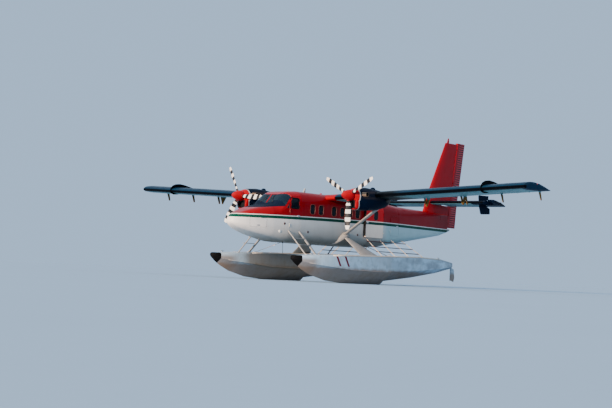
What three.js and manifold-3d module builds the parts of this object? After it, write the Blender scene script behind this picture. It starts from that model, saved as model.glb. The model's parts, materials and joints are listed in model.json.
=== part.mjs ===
// Twin-engine high-wing utility floatplane, parked on its two floats.
// Millimetres. +X forward, +Y port, +Z up. The origin is on the floor, under the middle of the aircraft.
// Sizes below are stations: s is the distance aft of the nose tip, z the height above the cabin's belly.

import * as THREE from 'three';
import { mergeVertices } from 'three/addons/utils/BufferGeometryUtils.js';
import Module from 'manifold-3d';

const wasm = await Module();
wasm.setup();

// Driving dimensions
const LENGTH = 15090;
const SPAN = 19810;
const KEEL_DEPTH = 1470;
const NOSE_X = LENGTH / 2;
const TOUCH = 0.3;
const RUNNING = 6;
const WALL = 70;
const CABIN_HALF = 875;
const FLOOR_Z = 400;
const NOSE_END = 1720;
const COCKPIT_END = 3120;
const CABIN_END = 8280;

// Wing
const CHORD = 1980;
const WING_LE = 4600;
const WING_ROOT_Z = 1780;
const DIHEDRAL = 0.047;
const WING_ROOT_Y = 600;
const CONTROL_CUT = 6010;
const FLAP_INNER = 960;
const FLAP_OUTER = 6400;
const AILERON_OUTER = 9740;
const HANGER_DROP = 290;
const HANGER_S = 6060;

// Engines and propellers
const ENGINE_Y = 2870;
const THRUST_Z = 1860;
const PROP_S = 3500;
const PROP_RADIUS = 1295;
const SPINNER_RADIUS = 215;
const SPINNER_END = 3600;

// Tail
const TAIL_Z = 2225;
const TAIL_HALF = 3150;
const ELEVATOR_S = 13400;

// Floats
const FLOAT_Y = 2100;

const PAINT_RED = { color: 0xb3121d, roughness: 0.35, metalness: 0.1 };
const PAINT_WHITE = { color: 0xe6e2dc, roughness: 0.35, metalness: 0.05 };
const PAINT_NAVY = { color: 0x0d1626, roughness: 0.35, metalness: 0.1 };
const ALUMINIUM = { color: 0xb4bac0, roughness: 0.4, metalness: 0.8 };
const DARK_RED = { color: 0x3c1414, roughness: 0.5, metalness: 0.2 };
const RUBBER = { color: 0x121212, roughness: 0.85, metalness: 0 };
const STEEL = { color: 0x8c7f74, roughness: 0.4, metalness: 0.9 };
const SEAT_FABRIC = { color: 0x39424f, roughness: 0.9, metalness: 0 };
const PLASTIC = { color: 0x1c1e21, roughness: 0.7, metalness: 0 };
const GLASS = { color: 0x4c6674, roughness: 0.05, metalness: 0, transparent: true, opacity: 0.5 };

const aircraft = new THREE.Group();

// Helpers

function point(s, y, z) {
  return new THREE.Vector3(NOSE_X - s, y, z + KEEL_DEPTH);
}

function toSolid(geometry) {
  const bare = geometry.clone();
  bare.deleteAttribute('normal');
  bare.deleteAttribute('uv');
  const merged = mergeVertices(bare, 0.001);
  const mesh = new wasm.Mesh({
    numProp: 3,
    vertProperties: new Float32Array(merged.attributes.position.array),
    triVerts: new Uint32Array(merged.index.array),
  });
  return new wasm.Manifold(mesh);
}

function toGeometry(solid) {
  const mesh = solid.getMesh();
  const geometry = new THREE.BufferGeometry();
  geometry.setAttribute('position', new THREE.BufferAttribute(new Float32Array(mesh.vertProperties), 3));
  geometry.setIndex(new THREE.BufferAttribute(new Uint32Array(mesh.triVerts), 1));
  geometry.computeVertexNormals();
  return geometry;
}

function addNode(name, solid, finish) {
  const mesh = new THREE.Mesh(toGeometry(solid), new THREE.MeshStandardMaterial(finish));
  mesh.name = name;
  aircraft.add(mesh);
}

// A closed skin through rings of points, each ring with the same count, with flat ends.
function loft(rings) {
  const count = rings[0].length;
  const positions = rings.flat().flatMap((p) => [p.x, p.y, p.z]);
  const faces = [];
  for (let r = 0; r + 1 < rings.length; r += 1) {
    for (let i = 0; i < count; i += 1) {
      const a = r * count + i;
      const b = r * count + ((i + 1) % count);
      faces.push(a, b, a + count, b, b + count, a + count);
    }
  }
  const last = (rings.length - 1) * count;
  for (const [a, b, c] of capFaces(rings[0])) faces.push(a, c, b);
  for (const [a, b, c] of capFaces(rings[rings.length - 1])) faces.push(last + a, last + b, last + c);
  if (signedVolume(positions, faces) < 0) {
    for (let f = 0; f < faces.length; f += 3) [faces[f + 1], faces[f + 2]] = [faces[f + 2], faces[f + 1]];
  }
  const geometry = new THREE.BufferGeometry();
  geometry.setAttribute('position', new THREE.Float32BufferAttribute(positions, 3));
  geometry.setIndex(faces);
  return toSolid(geometry);
}

function signedVolume(positions, faces) {
  let volume = 0;
  const at = (i) => new THREE.Vector3(positions[3 * i], positions[3 * i + 1], positions[3 * i + 2]);
  for (let f = 0; f < faces.length; f += 3) {
    volume += at(faces[f]).dot(at(faces[f + 1]).cross(at(faces[f + 2])));
  }
  return volume;
}

// Triangles of a flat ring, wound the same way as the loft's skin runs along its rings.
function capFaces(ring) {
  const normal = new THREE.Vector3();
  ring.forEach((p, i) => normal.add(p.clone().cross(ring[(i + 1) % ring.length])));
  normal.normalize();
  const side = Math.abs(normal.x) > 0.9 ? new THREE.Vector3(0, 1, 0) : new THREE.Vector3(1, 0, 0);
  const u = side.clone().addScaledVector(normal, -side.dot(normal)).normalize();
  const v = normal.clone().cross(u);
  const flat = ring.map((p) => new THREE.Vector2(p.dot(u), p.dot(v)));
  return THREE.ShapeUtils.triangulateShape(flat, []);
}

// A side-view outline in (s, z), swept between two values of y.
function sidePrism(outline, y0, y1) {
  const ring = (y) => outline.map(([s, z]) => point(s, y, z));
  return loft([ring(y0), ring(y1)]);
}

// A plan-view outline in (s, y), swept between two heights.
function planPrism(outline, z0, z1) {
  const ring = (z) => outline.map(([s, y]) => point(s, y, z));
  return loft([ring(z0), ring(z1)]);
}

function box(s0, s1, y0, y1, z0, z1) {
  return sidePrism([[s0, z0], [s1, z0], [s1, z1], [s0, z1]], y0, y1);
}

function roundedOutline(s0, s1, z0, z1, radius, steps = 3) {
  const corners = [
    [s1 - radius, z1 - radius, 0], [s0 + radius, z1 - radius, 1],
    [s0 + radius, z0 + radius, 2], [s1 - radius, z0 + radius, 3],
  ];
  const outline = [];
  for (const [cs, cz, quarter] of corners) {
    for (let k = 0; k <= steps; k += 1) {
      const angle = (quarter + k / steps) * Math.PI / 2;
      outline.push([cs + radius * Math.cos(angle), cz + radius * Math.sin(angle)]);
    }
  }
  return outline;
}

function mirrored(solid) {
  return solid.mirror([0, 1, 0]);
}

function rotatedAbout(solid, pivot, degrees) {
  const centred = solid.translate([-pivot.x, -pivot.y, -pivot.z]);
  return centred.rotate(degrees).translate([pivot.x, pivot.y, pivot.z]);
}

function joined(solids) {
  return solids.reduce((whole, solid) => whole.add(solid));
}

// Fuselage outline: one rounded rectangle per station.
// Columns: s, half width, bottom z, top z, bottom corner radius, top corner radius
const HULL = [
  [0, 45, 640, 735, 40, 40],
  [18, 135, 565, 810, 110, 110],
  [70, 235, 480, 885, 180, 180],
  [200, 345, 375, 955, 220, 250],
  [450, 470, 280, 1045, 250, 300],
  [900, 600, 190, 1175, 270, 330],
  [1350, 705, 110, 1285, 280, 360],
  [1720, 765, 70, 1370, 280, 370],
  [2010, 800, 45, 1440, 280, 390],
  [2360, 840, 20, 1830, 280, 500],
  [2650, 862, 8, 1940, 280, 500],
  [3120, CABIN_HALF, 0, 1990, 280, 430],
  [7210, CABIN_HALF, 0, 1990, 280, 430],
  [8280, 868, 95, 1930, 280, 430],
  [9500, 780, 270, 1840, 280, 400],
  [12020, 430, 620, 1790, 200, 300],
  [13100, 270, 780, 1770, 130, 180],
  [13770, 170, 955, 1755, 80, 100],
];

function hullRing(station, inset) {
  const [s, half, bottom, top, lower, upper] = station;
  const steps = 5;
  const corners = [[1, 1, upper], [-1, 1, upper], [-1, -1, lower], [1, -1, lower]];
  const ring = [];
  corners.forEach(([ySign, zSign, radius], quarter) => {
    const r = Math.max(radius - inset, 5);
    const cy = ySign * (half - inset - r);
    const cz = zSign > 0 ? top - inset - r : bottom + inset + r;
    for (let k = 0; k <= steps; k += 1) {
      const angle = (quarter + k / steps) * Math.PI / 2;
      ring.push(point(s, cy + r * Math.cos(angle), cz + r * Math.sin(angle)));
    }
  });
  return ring;
}

function hullAt(s) {
  const next = HULL.findIndex((row) => row[0] >= s);
  if (HULL[next][0] === s) return HULL[next];
  const [a, b] = [HULL[next - 1], HULL[next]];
  const t = (s - a[0]) / (b[0] - a[0]);
  return a.map((value, i) => value + t * (b[i] - value));
}

function hull(s0, s1, inset = 0) {
  const between = HULL.filter((row) => row[0] > s0 && row[0] < s1);
  return loft([hullAt(s0), ...between, hullAt(s1)].map((station) => hullRing(station, inset)));
}

const skinClear = hull(0, 13770, -TOUCH);

// A round bar between two points
function roundBar(start, end, radius, sides = 8) {
  const along = end.clone().sub(start).normalize();
  const aside = Math.abs(along.z) > 0.8 ? new THREE.Vector3(1, 0, 0) : new THREE.Vector3(0, 0, 1);
  const u = aside.addScaledVector(along, -aside.dot(along)).normalize();
  const v = along.clone().cross(u);
  const ring = (centre) => Array.from({ length: sides }, (_, i) => {
    const angle = (i / sides) * 2 * Math.PI;
    const rim = centre.clone().addScaledVector(u, radius * Math.cos(angle));
    return rim.addScaledVector(v, radius * Math.sin(angle));
  });
  return loft([ring(start), ring(end)]);
}

// Butt hinges on a door: a knuckle of the door between two of the frame, at each place along the axis.
const KNUCKLE = { length: 50, radius: 15, clear: 5 };

function knuckles(start, end, places) {
  const along = end.clone().sub(start).normalize();
  const bar = (from, to, radius) => roundBar(
    start.clone().addScaledVector(along, from), start.clone().addScaledVector(along, to), radius,
  );
  const half = KNUCKLE.length / 2;
  const wide = KNUCKLE.radius + KNUCKLE.clear;
  const set = { frame: [], moving: [], frameRoom: [], movingRoom: [] };
  for (const place of places) {
    set.moving.push(bar(place - half, place + half, KNUCKLE.radius));
    set.frameRoom.push(bar(place - half - TOUCH, place + half + TOUCH, wide));
    for (const side of [-1, 1]) {
      set.frame.push(bar(place + side * (half + TOUCH), place + side * 3 * half, KNUCKLE.radius));
      set.movingRoom.push(bar(place + side * half, place + side * (3 * half + KNUCKLE.clear), wide));
    }
  }
  return set;
}

function uprightHinge(s, y, heights) {
  return knuckles(point(s, y, 0), point(s, y, 100), heights);
}

// A door and its opening, cut from a shell. skinAt gives the half width of the skin at a station.
// The leaf's edges lean in by the bevel, fore and aft and up and down, so that they swing clear.
const DOOR_GAP = 6;

function doorPair(shell, side, outline, skinAt, depth, bevel, hinge) {
  const total = outline.reduce((sum, [s, z]) => [sum[0] + s, sum[1] + z], [0, 0]);
  const centre = total.map((value) => value / outline.length);
  const ring = (gap, lean, offset) => outline.map(([s, z]) => {
    const inS = s - Math.sign(s - centre[0]) * (gap + lean * bevel[0]);
    const inZ = z - Math.sign(z - centre[1]) * (gap + lean * bevel[1]);
    return point(inS, side * (skinAt(s) + offset), inZ);
  });
  const leaf = loft([ring(DOOR_GAP, depth, -depth), ring(DOOR_GAP, 0, 0), ring(DOOR_GAP, 0, 20)]);
  const opening = loft([ring(0, 0, -depth), ring(0, 0, 20)]);
  const frame = shell.subtract(opening).subtract(joined(hinge.frameRoom));
  const door = shell.intersect(leaf).subtract(joined(hinge.movingRoom));
  return { frame: joined([frame, ...hinge.frame]), door: joined([door, ...hinge.moving]) };
}

// A plate square to a hinge axis. Its outline is in (aft, up) from the pivot.
function axisPlate(pivot, axis, outline, from, to) {
  const aft = new THREE.Vector3(-1, 0, 0).addScaledVector(axis, axis.x).normalize();
  const up = axis.clone().cross(aft);
  const ring = (offset) => outline.map(([a, u]) => pivot.clone()
    .addScaledVector(axis, offset).addScaledVector(aft, a).addScaledVector(up, u));
  return loft([ring(from), ring(to)]);
}

// A control surface's hinge: a lug on the fixed part, in a slot of the moving part and on its pin.
const LUG = { thickness: 30, radius: 28, pin: 10, hole: 11.5, slotRadius: 36 };

function lugHinge(pivot, axis, reach, halfSlot) {
  const half = LUG.thickness / 2;
  const end = (radius) => Array.from({ length: 5 }, (_, k) => {
    const angle = -Math.PI / 2 + (k / 4) * Math.PI;
    return [radius * Math.cos(angle), radius * Math.sin(angle)];
  });
  const pin = (radius, long) => roundBar(
    pivot.clone().addScaledVector(axis, -long), pivot.clone().addScaledVector(axis, long), radius, 8,
  );
  const lugSide = [...end(LUG.radius), [-reach, LUG.radius], [-reach, -LUG.radius]];
  const lug = axisPlate(pivot, axis, lugSide, -half, half);
  const slotSide = [
    [LUG.slotRadius, -halfSlot], [LUG.slotRadius, halfSlot], [-reach, halfSlot], [-reach, -halfSlot],
  ];
  const slot = axisPlate(pivot, axis, slotSide, -half - TOUCH, half + TOUCH);
  return { lug: lug.subtract(pin(LUG.hole, half + 5)), slot, pin: pin(LUG.pin, half + 12) };
}

function hangOn(fixed, moving, hinges) {
  return {
    fixed: joined([fixed, ...hinges.map((h) => h.lug)]),
    moving: joined([moving.subtract(joined(hinges.map((h) => h.slot))), ...hinges.map((h) => h.pin)]),
  };
}

// Nose with its baggage bay
const NOSE_DOOR = roundedOutline(620, 1380, 400, 860, 60);
const noseShell = hull(0, NOSE_END - TOUCH).subtract(hull(420, NOSE_END - 140, 45));
const NOSE_HINGE = { s0: 700, y0: 552, s1: 1300, y1: 705, z: 857 };
const noseSkin = (s) => NOSE_HINGE.y0 + (s - NOSE_HINGE.s0) * (NOSE_HINGE.y1 - NOSE_HINGE.y0)
  / (NOSE_HINGE.s1 - NOSE_HINGE.s0);
const noseKnuckles = knuckles(
  point(NOSE_HINGE.s0, NOSE_HINGE.y0, NOSE_HINGE.z),
  point(NOSE_HINGE.s1, NOSE_HINGE.y1, NOSE_HINGE.z),
  [180, 480],
);
const nosePair = doorPair(noseShell, 1, NOSE_DOOR, noseSkin, 130, [0.26, 0.1], noseKnuckles);
addNode('nose_section', nosePair.frame, PAINT_WHITE);
addNode('nose_baggage_door', nosePair.door, PAINT_WHITE);

// Cockpit and cabin shells over one floor
const floorSlab = box(NOSE_END, CABIN_END, -1000, 1000, -200, FLOOR_Z);
const aboveFloor = box(NOSE_END, CABIN_END, -1000, 1000, FLOOR_Z + TOUCH, 2300);

const WINDSCREEN_PLAN = [
  [2025, 18], [2235, 800], [2330, 815], [2640, 745], [2600, 600], [2390, 300], [2370, 18],
];
const CREW_DOOR = [[2490, 470], [3060, 470], [3060, 1780], [2720, 1780], [2490, 1480]];
const CREW_WINDOW = roundedOutline(2550, 2980, 1300, 1700, 60);
const QUARTER_WINDOW = [[2330, 1300], [2460, 1300], [2460, 1470]];

const CREW_HINGE = { s: 2493, y: 854 };

let cockpit = hull(NOSE_END, COCKPIT_END - TOUCH).intersect(aboveFloor)
  .subtract(hull(NOSE_END + 60, COCKPIT_END + 100, WALL));
for (const side of [1, -1]) {
  const plan = WINDSCREEN_PLAN.map(([s, y]) => [s, side * y]);
  cockpit = cockpit.subtract(planPrism(plan, 1330, 2100));
  cockpit = cockpit.subtract(sidePrism(QUARTER_WINDOW, side * 650, side * 950));
}
const crewDoors = {};
for (const [name, side] of [['left', 1], ['right', -1]]) {
  const hinge = uprightHinge(CREW_HINGE.s, side * CREW_HINGE.y, [640, 1200]);
  const pair = doorPair(cockpit, side, CREW_DOOR, () => CABIN_HALF, 340, [0.14, 0], hinge);
  cockpit = pair.frame;
  crewDoors[name] = pair.door.subtract(sidePrism(CREW_WINDOW, side * 250, side * 950));
}
addNode('cockpit_shell', cockpit, PAINT_RED);
addNode('crew_door_left', crewDoors.left, PAINT_RED);
addNode('crew_door_right', crewDoors.right, PAINT_RED);

for (const [name, side] of [['left', 1], ['right', -1]]) {
  const plan = WINDSCREEN_PLAN.map(([s, y]) => {
    const inward = [s + Math.sign(2350 - s) * 1.5, y + Math.sign(400 - y) * 1.5];
    return [inward[0], side * inward[1]];
  });
  const pane = hull(NOSE_END, COCKPIT_END, 14).subtract(hull(NOSE_END, COCKPIT_END, 26));
  addNode(`windscreen_${name}`, pane.intersect(planPrism(plan, 1330, 2100)), GLASS);
}

// Cabin walls and roof, with the windows and the two rear doors cut
const WINDOW_STATIONS = [3780, 4280, 5070, 5590, 6070, 6550];
const WINDOW = { width: 280, height: 360, z: 1330, radius: 90 };
const DOOR_LEFT = roundedOutline(6940, 8260, 420, 1750, 90);
const DOOR_RIGHT = roundedOutline(7300, 8060, 420, 1700, 90);
const DOOR_WINDOW_S = 7680;
const ROOF_HALF = 520;
const windowOutline = (s) => roundedOutline(
  s - WINDOW.width / 2, s + WINDOW.width / 2,
  WINDOW.z - WINDOW.height / 2, WINDOW.z + WINDOW.height / 2, WINDOW.radius,
);

const cabin = hull(COCKPIT_END, CABIN_END - TOUCH).intersect(aboveFloor)
  .subtract(hull(COCKPIT_END - 100, CABIN_END + 100, WALL));
const ROOF_TOP = 2200;
const roofSpace = box(COCKPIT_END, CABIN_END, -ROOF_HALF, ROOF_HALF, 1500, ROOF_TOP);
addNode('cabin_roof', cabin.intersect(roofSpace), PAINT_RED);
const DOOR_HINGES = { left: { s: 8257, y: 873 }, right: { s: 7303, y: -879 } };
const LEFT_DOOR_AJAR = 5;
for (const [name, side, doorway] of [['left', 1, DOOR_LEFT], ['right', -1, DOOR_RIGHT]]) {
  const wallSpace = box(COCKPIT_END, CABIN_END, side * (ROOF_HALF + TOUCH), side * 1000, 0, ROOF_TOP);
  const half = cabin.intersect(wallSpace);
  const { s: hingeAt, y: hingeY } = DOOR_HINGES[name];
  const hinge = uprightHinge(hingeAt, hingeY, [640, 1380]);
  const pair = doorPair(half, side, doorway, () => CABIN_HALF, 300, [0.1, 0], hinge);
  let wall = pair.frame;
  for (const s of WINDOW_STATIONS) {
    wall = wall.subtract(sidePrism(windowOutline(s), side * 600, side * 1000));
  }
  addNode(`cabin_side_${name}`, wall, PAINT_RED);
  let door = pair.door.subtract(sidePrism(windowOutline(DOOR_WINDOW_S), side * 300, side * 1000));
  if (name === 'left') door = rotatedAbout(door, point(hingeAt, hingeY, 0), [0, 0, LEFT_DOOR_AJAR]);
  addNode(`cabin_door_${name}`, door, PAINT_RED);
}

// Tail cone with the rear baggage door and the tail bumper
const BAGGAGE_DOOR = roundedOutline(8760, 9400, 560, 1380, 70);
const tailBumper = loft([
  [[13760, 100, 960], [13760, -100, 960], [13760, -100, 1130], [13760, 100, 1130]],
  [[14130, 40, 1060], [14130, -40, 1060], [14130, -40, 1110], [14130, 40, 1110]],
].map((ring) => ring.map(([s, y, z]) => point(s, y, z))));
const tailShell = hull(CABIN_END, 13770).subtract(hull(CABIN_END - 200, 12600, 50)).add(tailBumper);
const baggageHinge = uprightHinge(8763, 838, [740, 1200]);
const baggagePair = doorPair(tailShell, 1, BAGGAGE_DOOR, () => 840, 340, [0.12, 0], baggageHinge);
addNode('tail_cone', baggagePair.frame, PAINT_RED);
addNode('rear_baggage_door', baggagePair.door, PAINT_RED);

// The floor carries two bulkheads, which fill the shell from wall to wall with a doorway each
const DOORWAY_HALF = 290;
function bulkhead(s, thickness) {
  const aboveSlab = box(s - 10, s + 100, -900, 900, FLOOR_Z - 20, ROOF_TOP);
  const plate = hull(s, s + thickness, WALL + TOUCH).intersect(aboveSlab);
  return plate.subtract(box(s - 50, s + 100, -DOORWAY_HALF, DOORWAY_HALF, FLOOR_Z, 1650));
}
const underfloor = hull(NOSE_END, CABIN_END - TOUCH).intersect(floorSlab);
addNode('cabin_floor', joined([underfloor, bulkhead(3160, 30), bulkhead(8263, 16)]), PAINT_WHITE);

// Cockpit furniture
const panelOutline = [[1960, 960], [2040, 960], [2090, 1330], [1980, 1330]];
const cockpitRoom = hull(NOSE_END, COCKPIT_END, WALL + TOUCH).intersect(aboveFloor);
addNode('instrument_panel', sidePrism(panelOutline, -700, 700)
  .add(box(1960, 2060, -180, 180, FLOOR_Z, 1000)).intersect(cockpitRoom), PLASTIC);
const columnBase = box(2200, 2270, -45, 45, FLOOR_Z + TOUCH, 1000);
const columnBar = box(2200, 2250, -420, 420, 960, 1020);
const yokeWheel = (y) => sidePrism(roundedOutline(2235, 2275, 960, 1180, 18, 2), y - 130, y + 130)
  .subtract(sidePrism(roundedOutline(2220, 2290, 1020, 1150, 18, 2), y - 95, y + 95));
addNode('control_column', joined([columnBase, columnBar, yokeWheel(375), yokeWheel(-375)]), PLASTIC);

function seat(s, y, width, floor, backTop) {
  const outline = [
    [s, floor], [s + 60, floor], [s + 60, 760], [s + 400, 740], [s + 400, floor], [s + 460, floor],
    [s + 460, 780], [s + 600, backTop], [s + 500, backTop], [s + 400, 870], [s - 30, 890], [s - 30, 770],
    [s, 760],
  ];
  return sidePrism(outline, y - width / 2, y + width / 2);
}
for (const [name, side] of [['left', 1], ['right', -1]]) {
  addNode(`crew_seat_${name}`, seat(2440, side * 380, 440, FLOOR_Z + TOUCH, 1480), SEAT_FABRIC);
}

// Passenger seats stand on a rail along each side
const SEAT_PITCH = 740;
const SEAT_ROWS = 5;
for (const [name, y, width] of [['left', 540, 420], ['right', -400, 720]]) {
  const rail = box(3500, 3500 + SEAT_ROWS * SEAT_PITCH, y - 60, y + 60, FLOOR_Z + TOUCH, FLOOR_Z + 40);
  const rows = [rail];
  for (let row = 0; row < SEAT_ROWS; row += 1) {
    rows.push(seat(3540 + row * SEAT_PITCH, y, width, FLOOR_Z + 20, 1400));
  }
  addNode(`cabin_seats_${name}`, joined(rows), SEAT_FABRIC);
}

// Wing section, as fractions of the chord. Columns: aft, up
const UPPER = [
  [1, -0.003], [0.8, 0.045], [0.6, 0.083], [0.4, 0.099], [0.25, 0.098], [0.12, 0.08], [0.05, 0.055],
  [0.012, 0.027],
];
const LOWER = [
  [0, 0], [0.015, -0.022], [0.08, -0.042], [0.25, -0.052], [0.5, -0.048], [0.75, -0.038], [1, -0.011],
];

function wingZ(y) {
  return WING_ROOT_Z + DIHEDRAL * Math.abs(y);
}

function wingRing(y, chord = CHORD, leading = WING_LE, thickness = 1, grow = 0) {
  return [...UPPER, ...LOWER].map(([aft, up]) => {
    const s = leading + aft * chord + grow * (aft * 2 - 1);
    return point(s, y, wingZ(y) + up * chord * thickness + grow * Math.sign(up));
  });
}

function wingHeight(aftOfLeading, y, table) {
  const fraction = aftOfLeading / CHORD;
  const sorted = [...table].sort((a, b) => a[0] - b[0]);
  const next = sorted.findIndex((row) => row[0] >= fraction);
  const [a, b] = [sorted[Math.max(next - 1, 0)], sorted[next]];
  const t = b[0] === a[0] ? 0 : (fraction - a[0]) / (b[0] - a[0]);
  return wingZ(y) + CHORD * (a[1] + t * (b[1] - a[1]));
}

const TIP_Y = SPAN / 2;
const wingFull = loft([
  wingRing(WING_ROOT_Y), wingRing(TIP_Y - 160), wingRing(TIP_Y - 40, CHORD - 300, WING_LE + 5, 1.1),
  wingRing(TIP_Y, CHORD - 640, WING_LE + 110, 0.9),
]);
const wingEnvelope = loft([
  wingRing(WING_ROOT_Y - 50, CHORD, WING_LE, 1, TOUCH), wingRing(9450, CHORD, WING_LE, 1, TOUCH),
]);

// Flaps and ailerons behind the wing's rear spar. Each turns on hangers below the wing.
const HANGERS = [1500, 4620, 6300];
const AILERON_HANGERS = [6500, 8080, 9680];
const HANGER_THICK = 16;
const WING_AXIS = new THREE.Vector3(0, 1, DIHEDRAL).normalize();
const HANGER_SIDE = [
  [35, -30], [35, 30], [-60, HANGER_DROP + 60], [-170, HANGER_DROP + 60], [-170, HANGER_DROP - 10],
  [-35, -30],
];
const HORN_SIDE = [[-30, -25], [35, -25], [230, HANGER_DROP + 20], [10, HANGER_DROP + 50]];

function hangerPivot(y) {
  return point(HANGER_S, y, wingHeight(HANGER_S - WING_LE, y, LOWER) - HANGER_DROP);
}

// The hanger carries a boss that reaches the flap's horn beside it.
function hanger(y) {
  const pivot = hangerPivot(y);
  const bossEnd = pivot.clone().addScaledVector(WING_AXIS, HANGER_THICK + RUNNING - TOUCH);
  const boss = roundBar(pivot, bossEnd, 22);
  return axisPlate(pivot, WING_AXIS, HANGER_SIDE, 0, HANGER_THICK).add(boss);
}

function flapHorn(y) {
  const from = HANGER_THICK + RUNNING;
  return axisPlate(hangerPivot(y), WING_AXIS, HORN_SIDE, from, from + HANGER_THICK);
}

const AILERON_AXIS_S = 6110;
const AILERON_NOSE = 84;
const aileronAxisZ = (y) => wingHeight(AILERON_AXIS_S - WING_LE, y, LOWER) + AILERON_NOSE + 2;
const aileronPivot = (y) => point(AILERON_AXIS_S, y, aileronAxisZ(y));

const controlSpace = box(CONTROL_CUT, 6700, FLAP_INNER - RUNNING, AILERON_OUTER + RUNNING, 1500, 2600);
const flapSpace = box(CONTROL_CUT + 20, 6700, FLAP_INNER, FLAP_OUTER, 1500, 2600);
const AILERON_GAP = 20;
const AILERON_ENDS = [FLAP_OUTER + AILERON_GAP, AILERON_OUTER - AILERON_GAP / 2];
const aileronSpace = box(AILERON_AXIS_S, 6700, ...AILERON_ENDS, 1500, 2600);

// A fence wraps the leading edge outboard. Outline: aft of the leading edge, above the wing's datum
const FENCE = { y: 8075, half: 6 };
const FENCE_SIDE = [
  [-20, -90], [-40, 40], [0, 150], [90, 240], [260, 310], [520, 340], [850, 310], [1330, 215], [1330, 100],
  [400, -130], [170, -150],
];
const fenceSide = FENCE_SIDE.map(([aft, up]) => [WING_LE + aft, wingZ(FENCE.y) + up]);
const fence = sidePrism(fenceSide, FENCE.y - FENCE.half, FENCE.y + FENCE.half);

let wing = wingFull.add(fence).subtract(skinClear).subtract(controlSpace);
const wingHangers = [...HANGERS, ...AILERON_HANGERS].map(hanger);
const flap = joined([wingFull.intersect(flapSpace), ...HANGERS.map(flapHorn)]);
const aileronNose = roundBar(
  aileronPivot(AILERON_ENDS[0] + 4), aileronPivot(AILERON_ENDS[1] - 4), AILERON_NOSE, 12,
);
const aileronWhole = wingFull.intersect(aileronSpace).add(aileronNose);
const aileronHinges = [6560, 8080, 9560].map((y) => lugHinge(aileronPivot(y), WING_AXIS, 110, 120));
const hungAileron = hangOn(joined([wing, ...wingHangers]), aileronWhole, aileronHinges);
wing = hungAileron.fixed;
const aileron = hungAileron.moving;

// Nacelle outline around each engine. Its front is the cowling.
// Columns: s, half width, bottom z, top z, corner radius
const COWL_END = 3800;
const ENGINE_END = 4560;
const NACELLE = [
  [3625, 225, 1640, 2080, 218],
  [3760, 300, 1560, 2130, 270],
  [4000, 360, 1480, 2180, 300],
  [4400, 395, 1340, 2210, 330],
  [5000, 395, 1370, 2180, 330],
  [5500, 330, 1490, 2130, 280],
  [5770, 250, 1610, 2090, 200],
  [5970, 120, 1780, 2040, 100],
];

function nacelleRing([s, half, bottom, top, radius], grow) {
  return roundedOutline(-half - grow, half + grow, bottom - grow, top + grow, radius, 4)
    .map(([y, z]) => point(s, ENGINE_Y + y, z));
}

const nacelleBody = loft(NACELLE.map((row) => nacelleRing(row, 0)));
const SCOOP = [[3660, 232, 1345, 1705, 150], [3720, 262, 1318, 1760, 150], [4420, 300, 1335, 1800, 150]];
const scoop = loft(SCOOP.map((row) => nacelleRing(row, 0)));
const SCOOP_MOUTH = [[3640, 180, 1395, 1660, 125], [3775, 165, 1405, 1650, 115]];
const scoopMouth = loft(SCOOP_MOUTH.map((row) => nacelleRing(row, 0)));

function barrel(y, z, s0, s1, radius, sides = 20) {
  const ring = (s) => Array.from({ length: sides }, (_, i) => {
    const angle = (i / sides) * 2 * Math.PI;
    return point(s, y + radius * Math.cos(angle), z + radius * Math.sin(angle));
  });
  return loft([ring(s0), ring(s1)]);
}

const EXHAUST = { s: 3930, z: 1925, radius: 85, reach: 450 };

function exhaustStub(side, radius) {
  const steps = 10;
  const ring = (s, y) => Array.from({ length: steps }, (_, i) => {
    const angle = (i / steps) * 2 * Math.PI;
    return point(s + radius * Math.cos(angle), ENGINE_Y + side * y, EXHAUST.z + radius * Math.sin(angle));
  });
  return loft([ring(EXHAUST.s, 120), ring(EXHAUST.s + 40, 350), ring(EXHAUST.s + 130, EXHAUST.reach)]);
}

const ENGINE_RADIUS = 235;
const engineCore = joined([
  barrel(ENGINE_Y, THRUST_Z, COWL_END + 30, ENGINE_END, ENGINE_RADIUS),
  barrel(ENGINE_Y, THRUST_Z, SPINNER_END + TOUCH, COWL_END + 60, 60, 16),
  exhaustStub(1, EXHAUST.radius), exhaustStub(-1, EXHAUST.radius),
]);
const engineRoom = joined([
  barrel(ENGINE_Y, THRUST_Z, COWL_END, ENGINE_END + TOUCH, ENGINE_RADIUS + 20),
  barrel(ENGINE_Y, THRUST_Z, 3500, COWL_END + 10, 68, 16),
  exhaustStub(1, EXHAUST.radius + 4), exhaustStub(-1, EXHAUST.radius + 4),
]);
const strutTop = { s: 5400, y: 3450, z: wingHeight(800, 3450, LOWER) };
const strutKnee = { s: 5690, y: 985, z: 470 };

// A strut between two points, its section an ellipse in the level plane: chord along s, thickness along y.
// Columns of a level: s, y, z, chord, thickness
function strut(levels, sides = 10) {
  return loft(levels.map(([s, y, z, chord, thickness]) => Array.from({ length: sides }, (_, i) => {
    const angle = (i / sides) * 2 * Math.PI;
    return point(s + (chord / 2) * Math.cos(angle), y + (thickness / 2) * Math.sin(angle), z);
  })));
}

const wingStrut = (grow) => strut([
  [strutKnee.s, strutKnee.y, strutKnee.z, 200 + grow, 150 + grow],
  [strutTop.s, strutTop.y, strutTop.z + 60, 200 + grow, 150 + grow],
]);

const cowlPlane = box(3000, COWL_END, 1800, 3900, 1000, 2300);
const cowlClear = box(3000, COWL_END + TOUCH, 1800, 3900, 1000, 2300);
const nacelleSkin = joined([nacelleBody, scoop]).subtract(scoopMouth);
const nacelleWhole = nacelleSkin.subtract(engineRoom).subtract(wingEnvelope);
const cowling = nacelleWhole.intersect(cowlPlane);
const nacelle = nacelleWhole.subtract(cowlClear).subtract(wingStrut(4));

const strutSolid = wingStrut(0).subtract(wingEnvelope);

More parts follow.
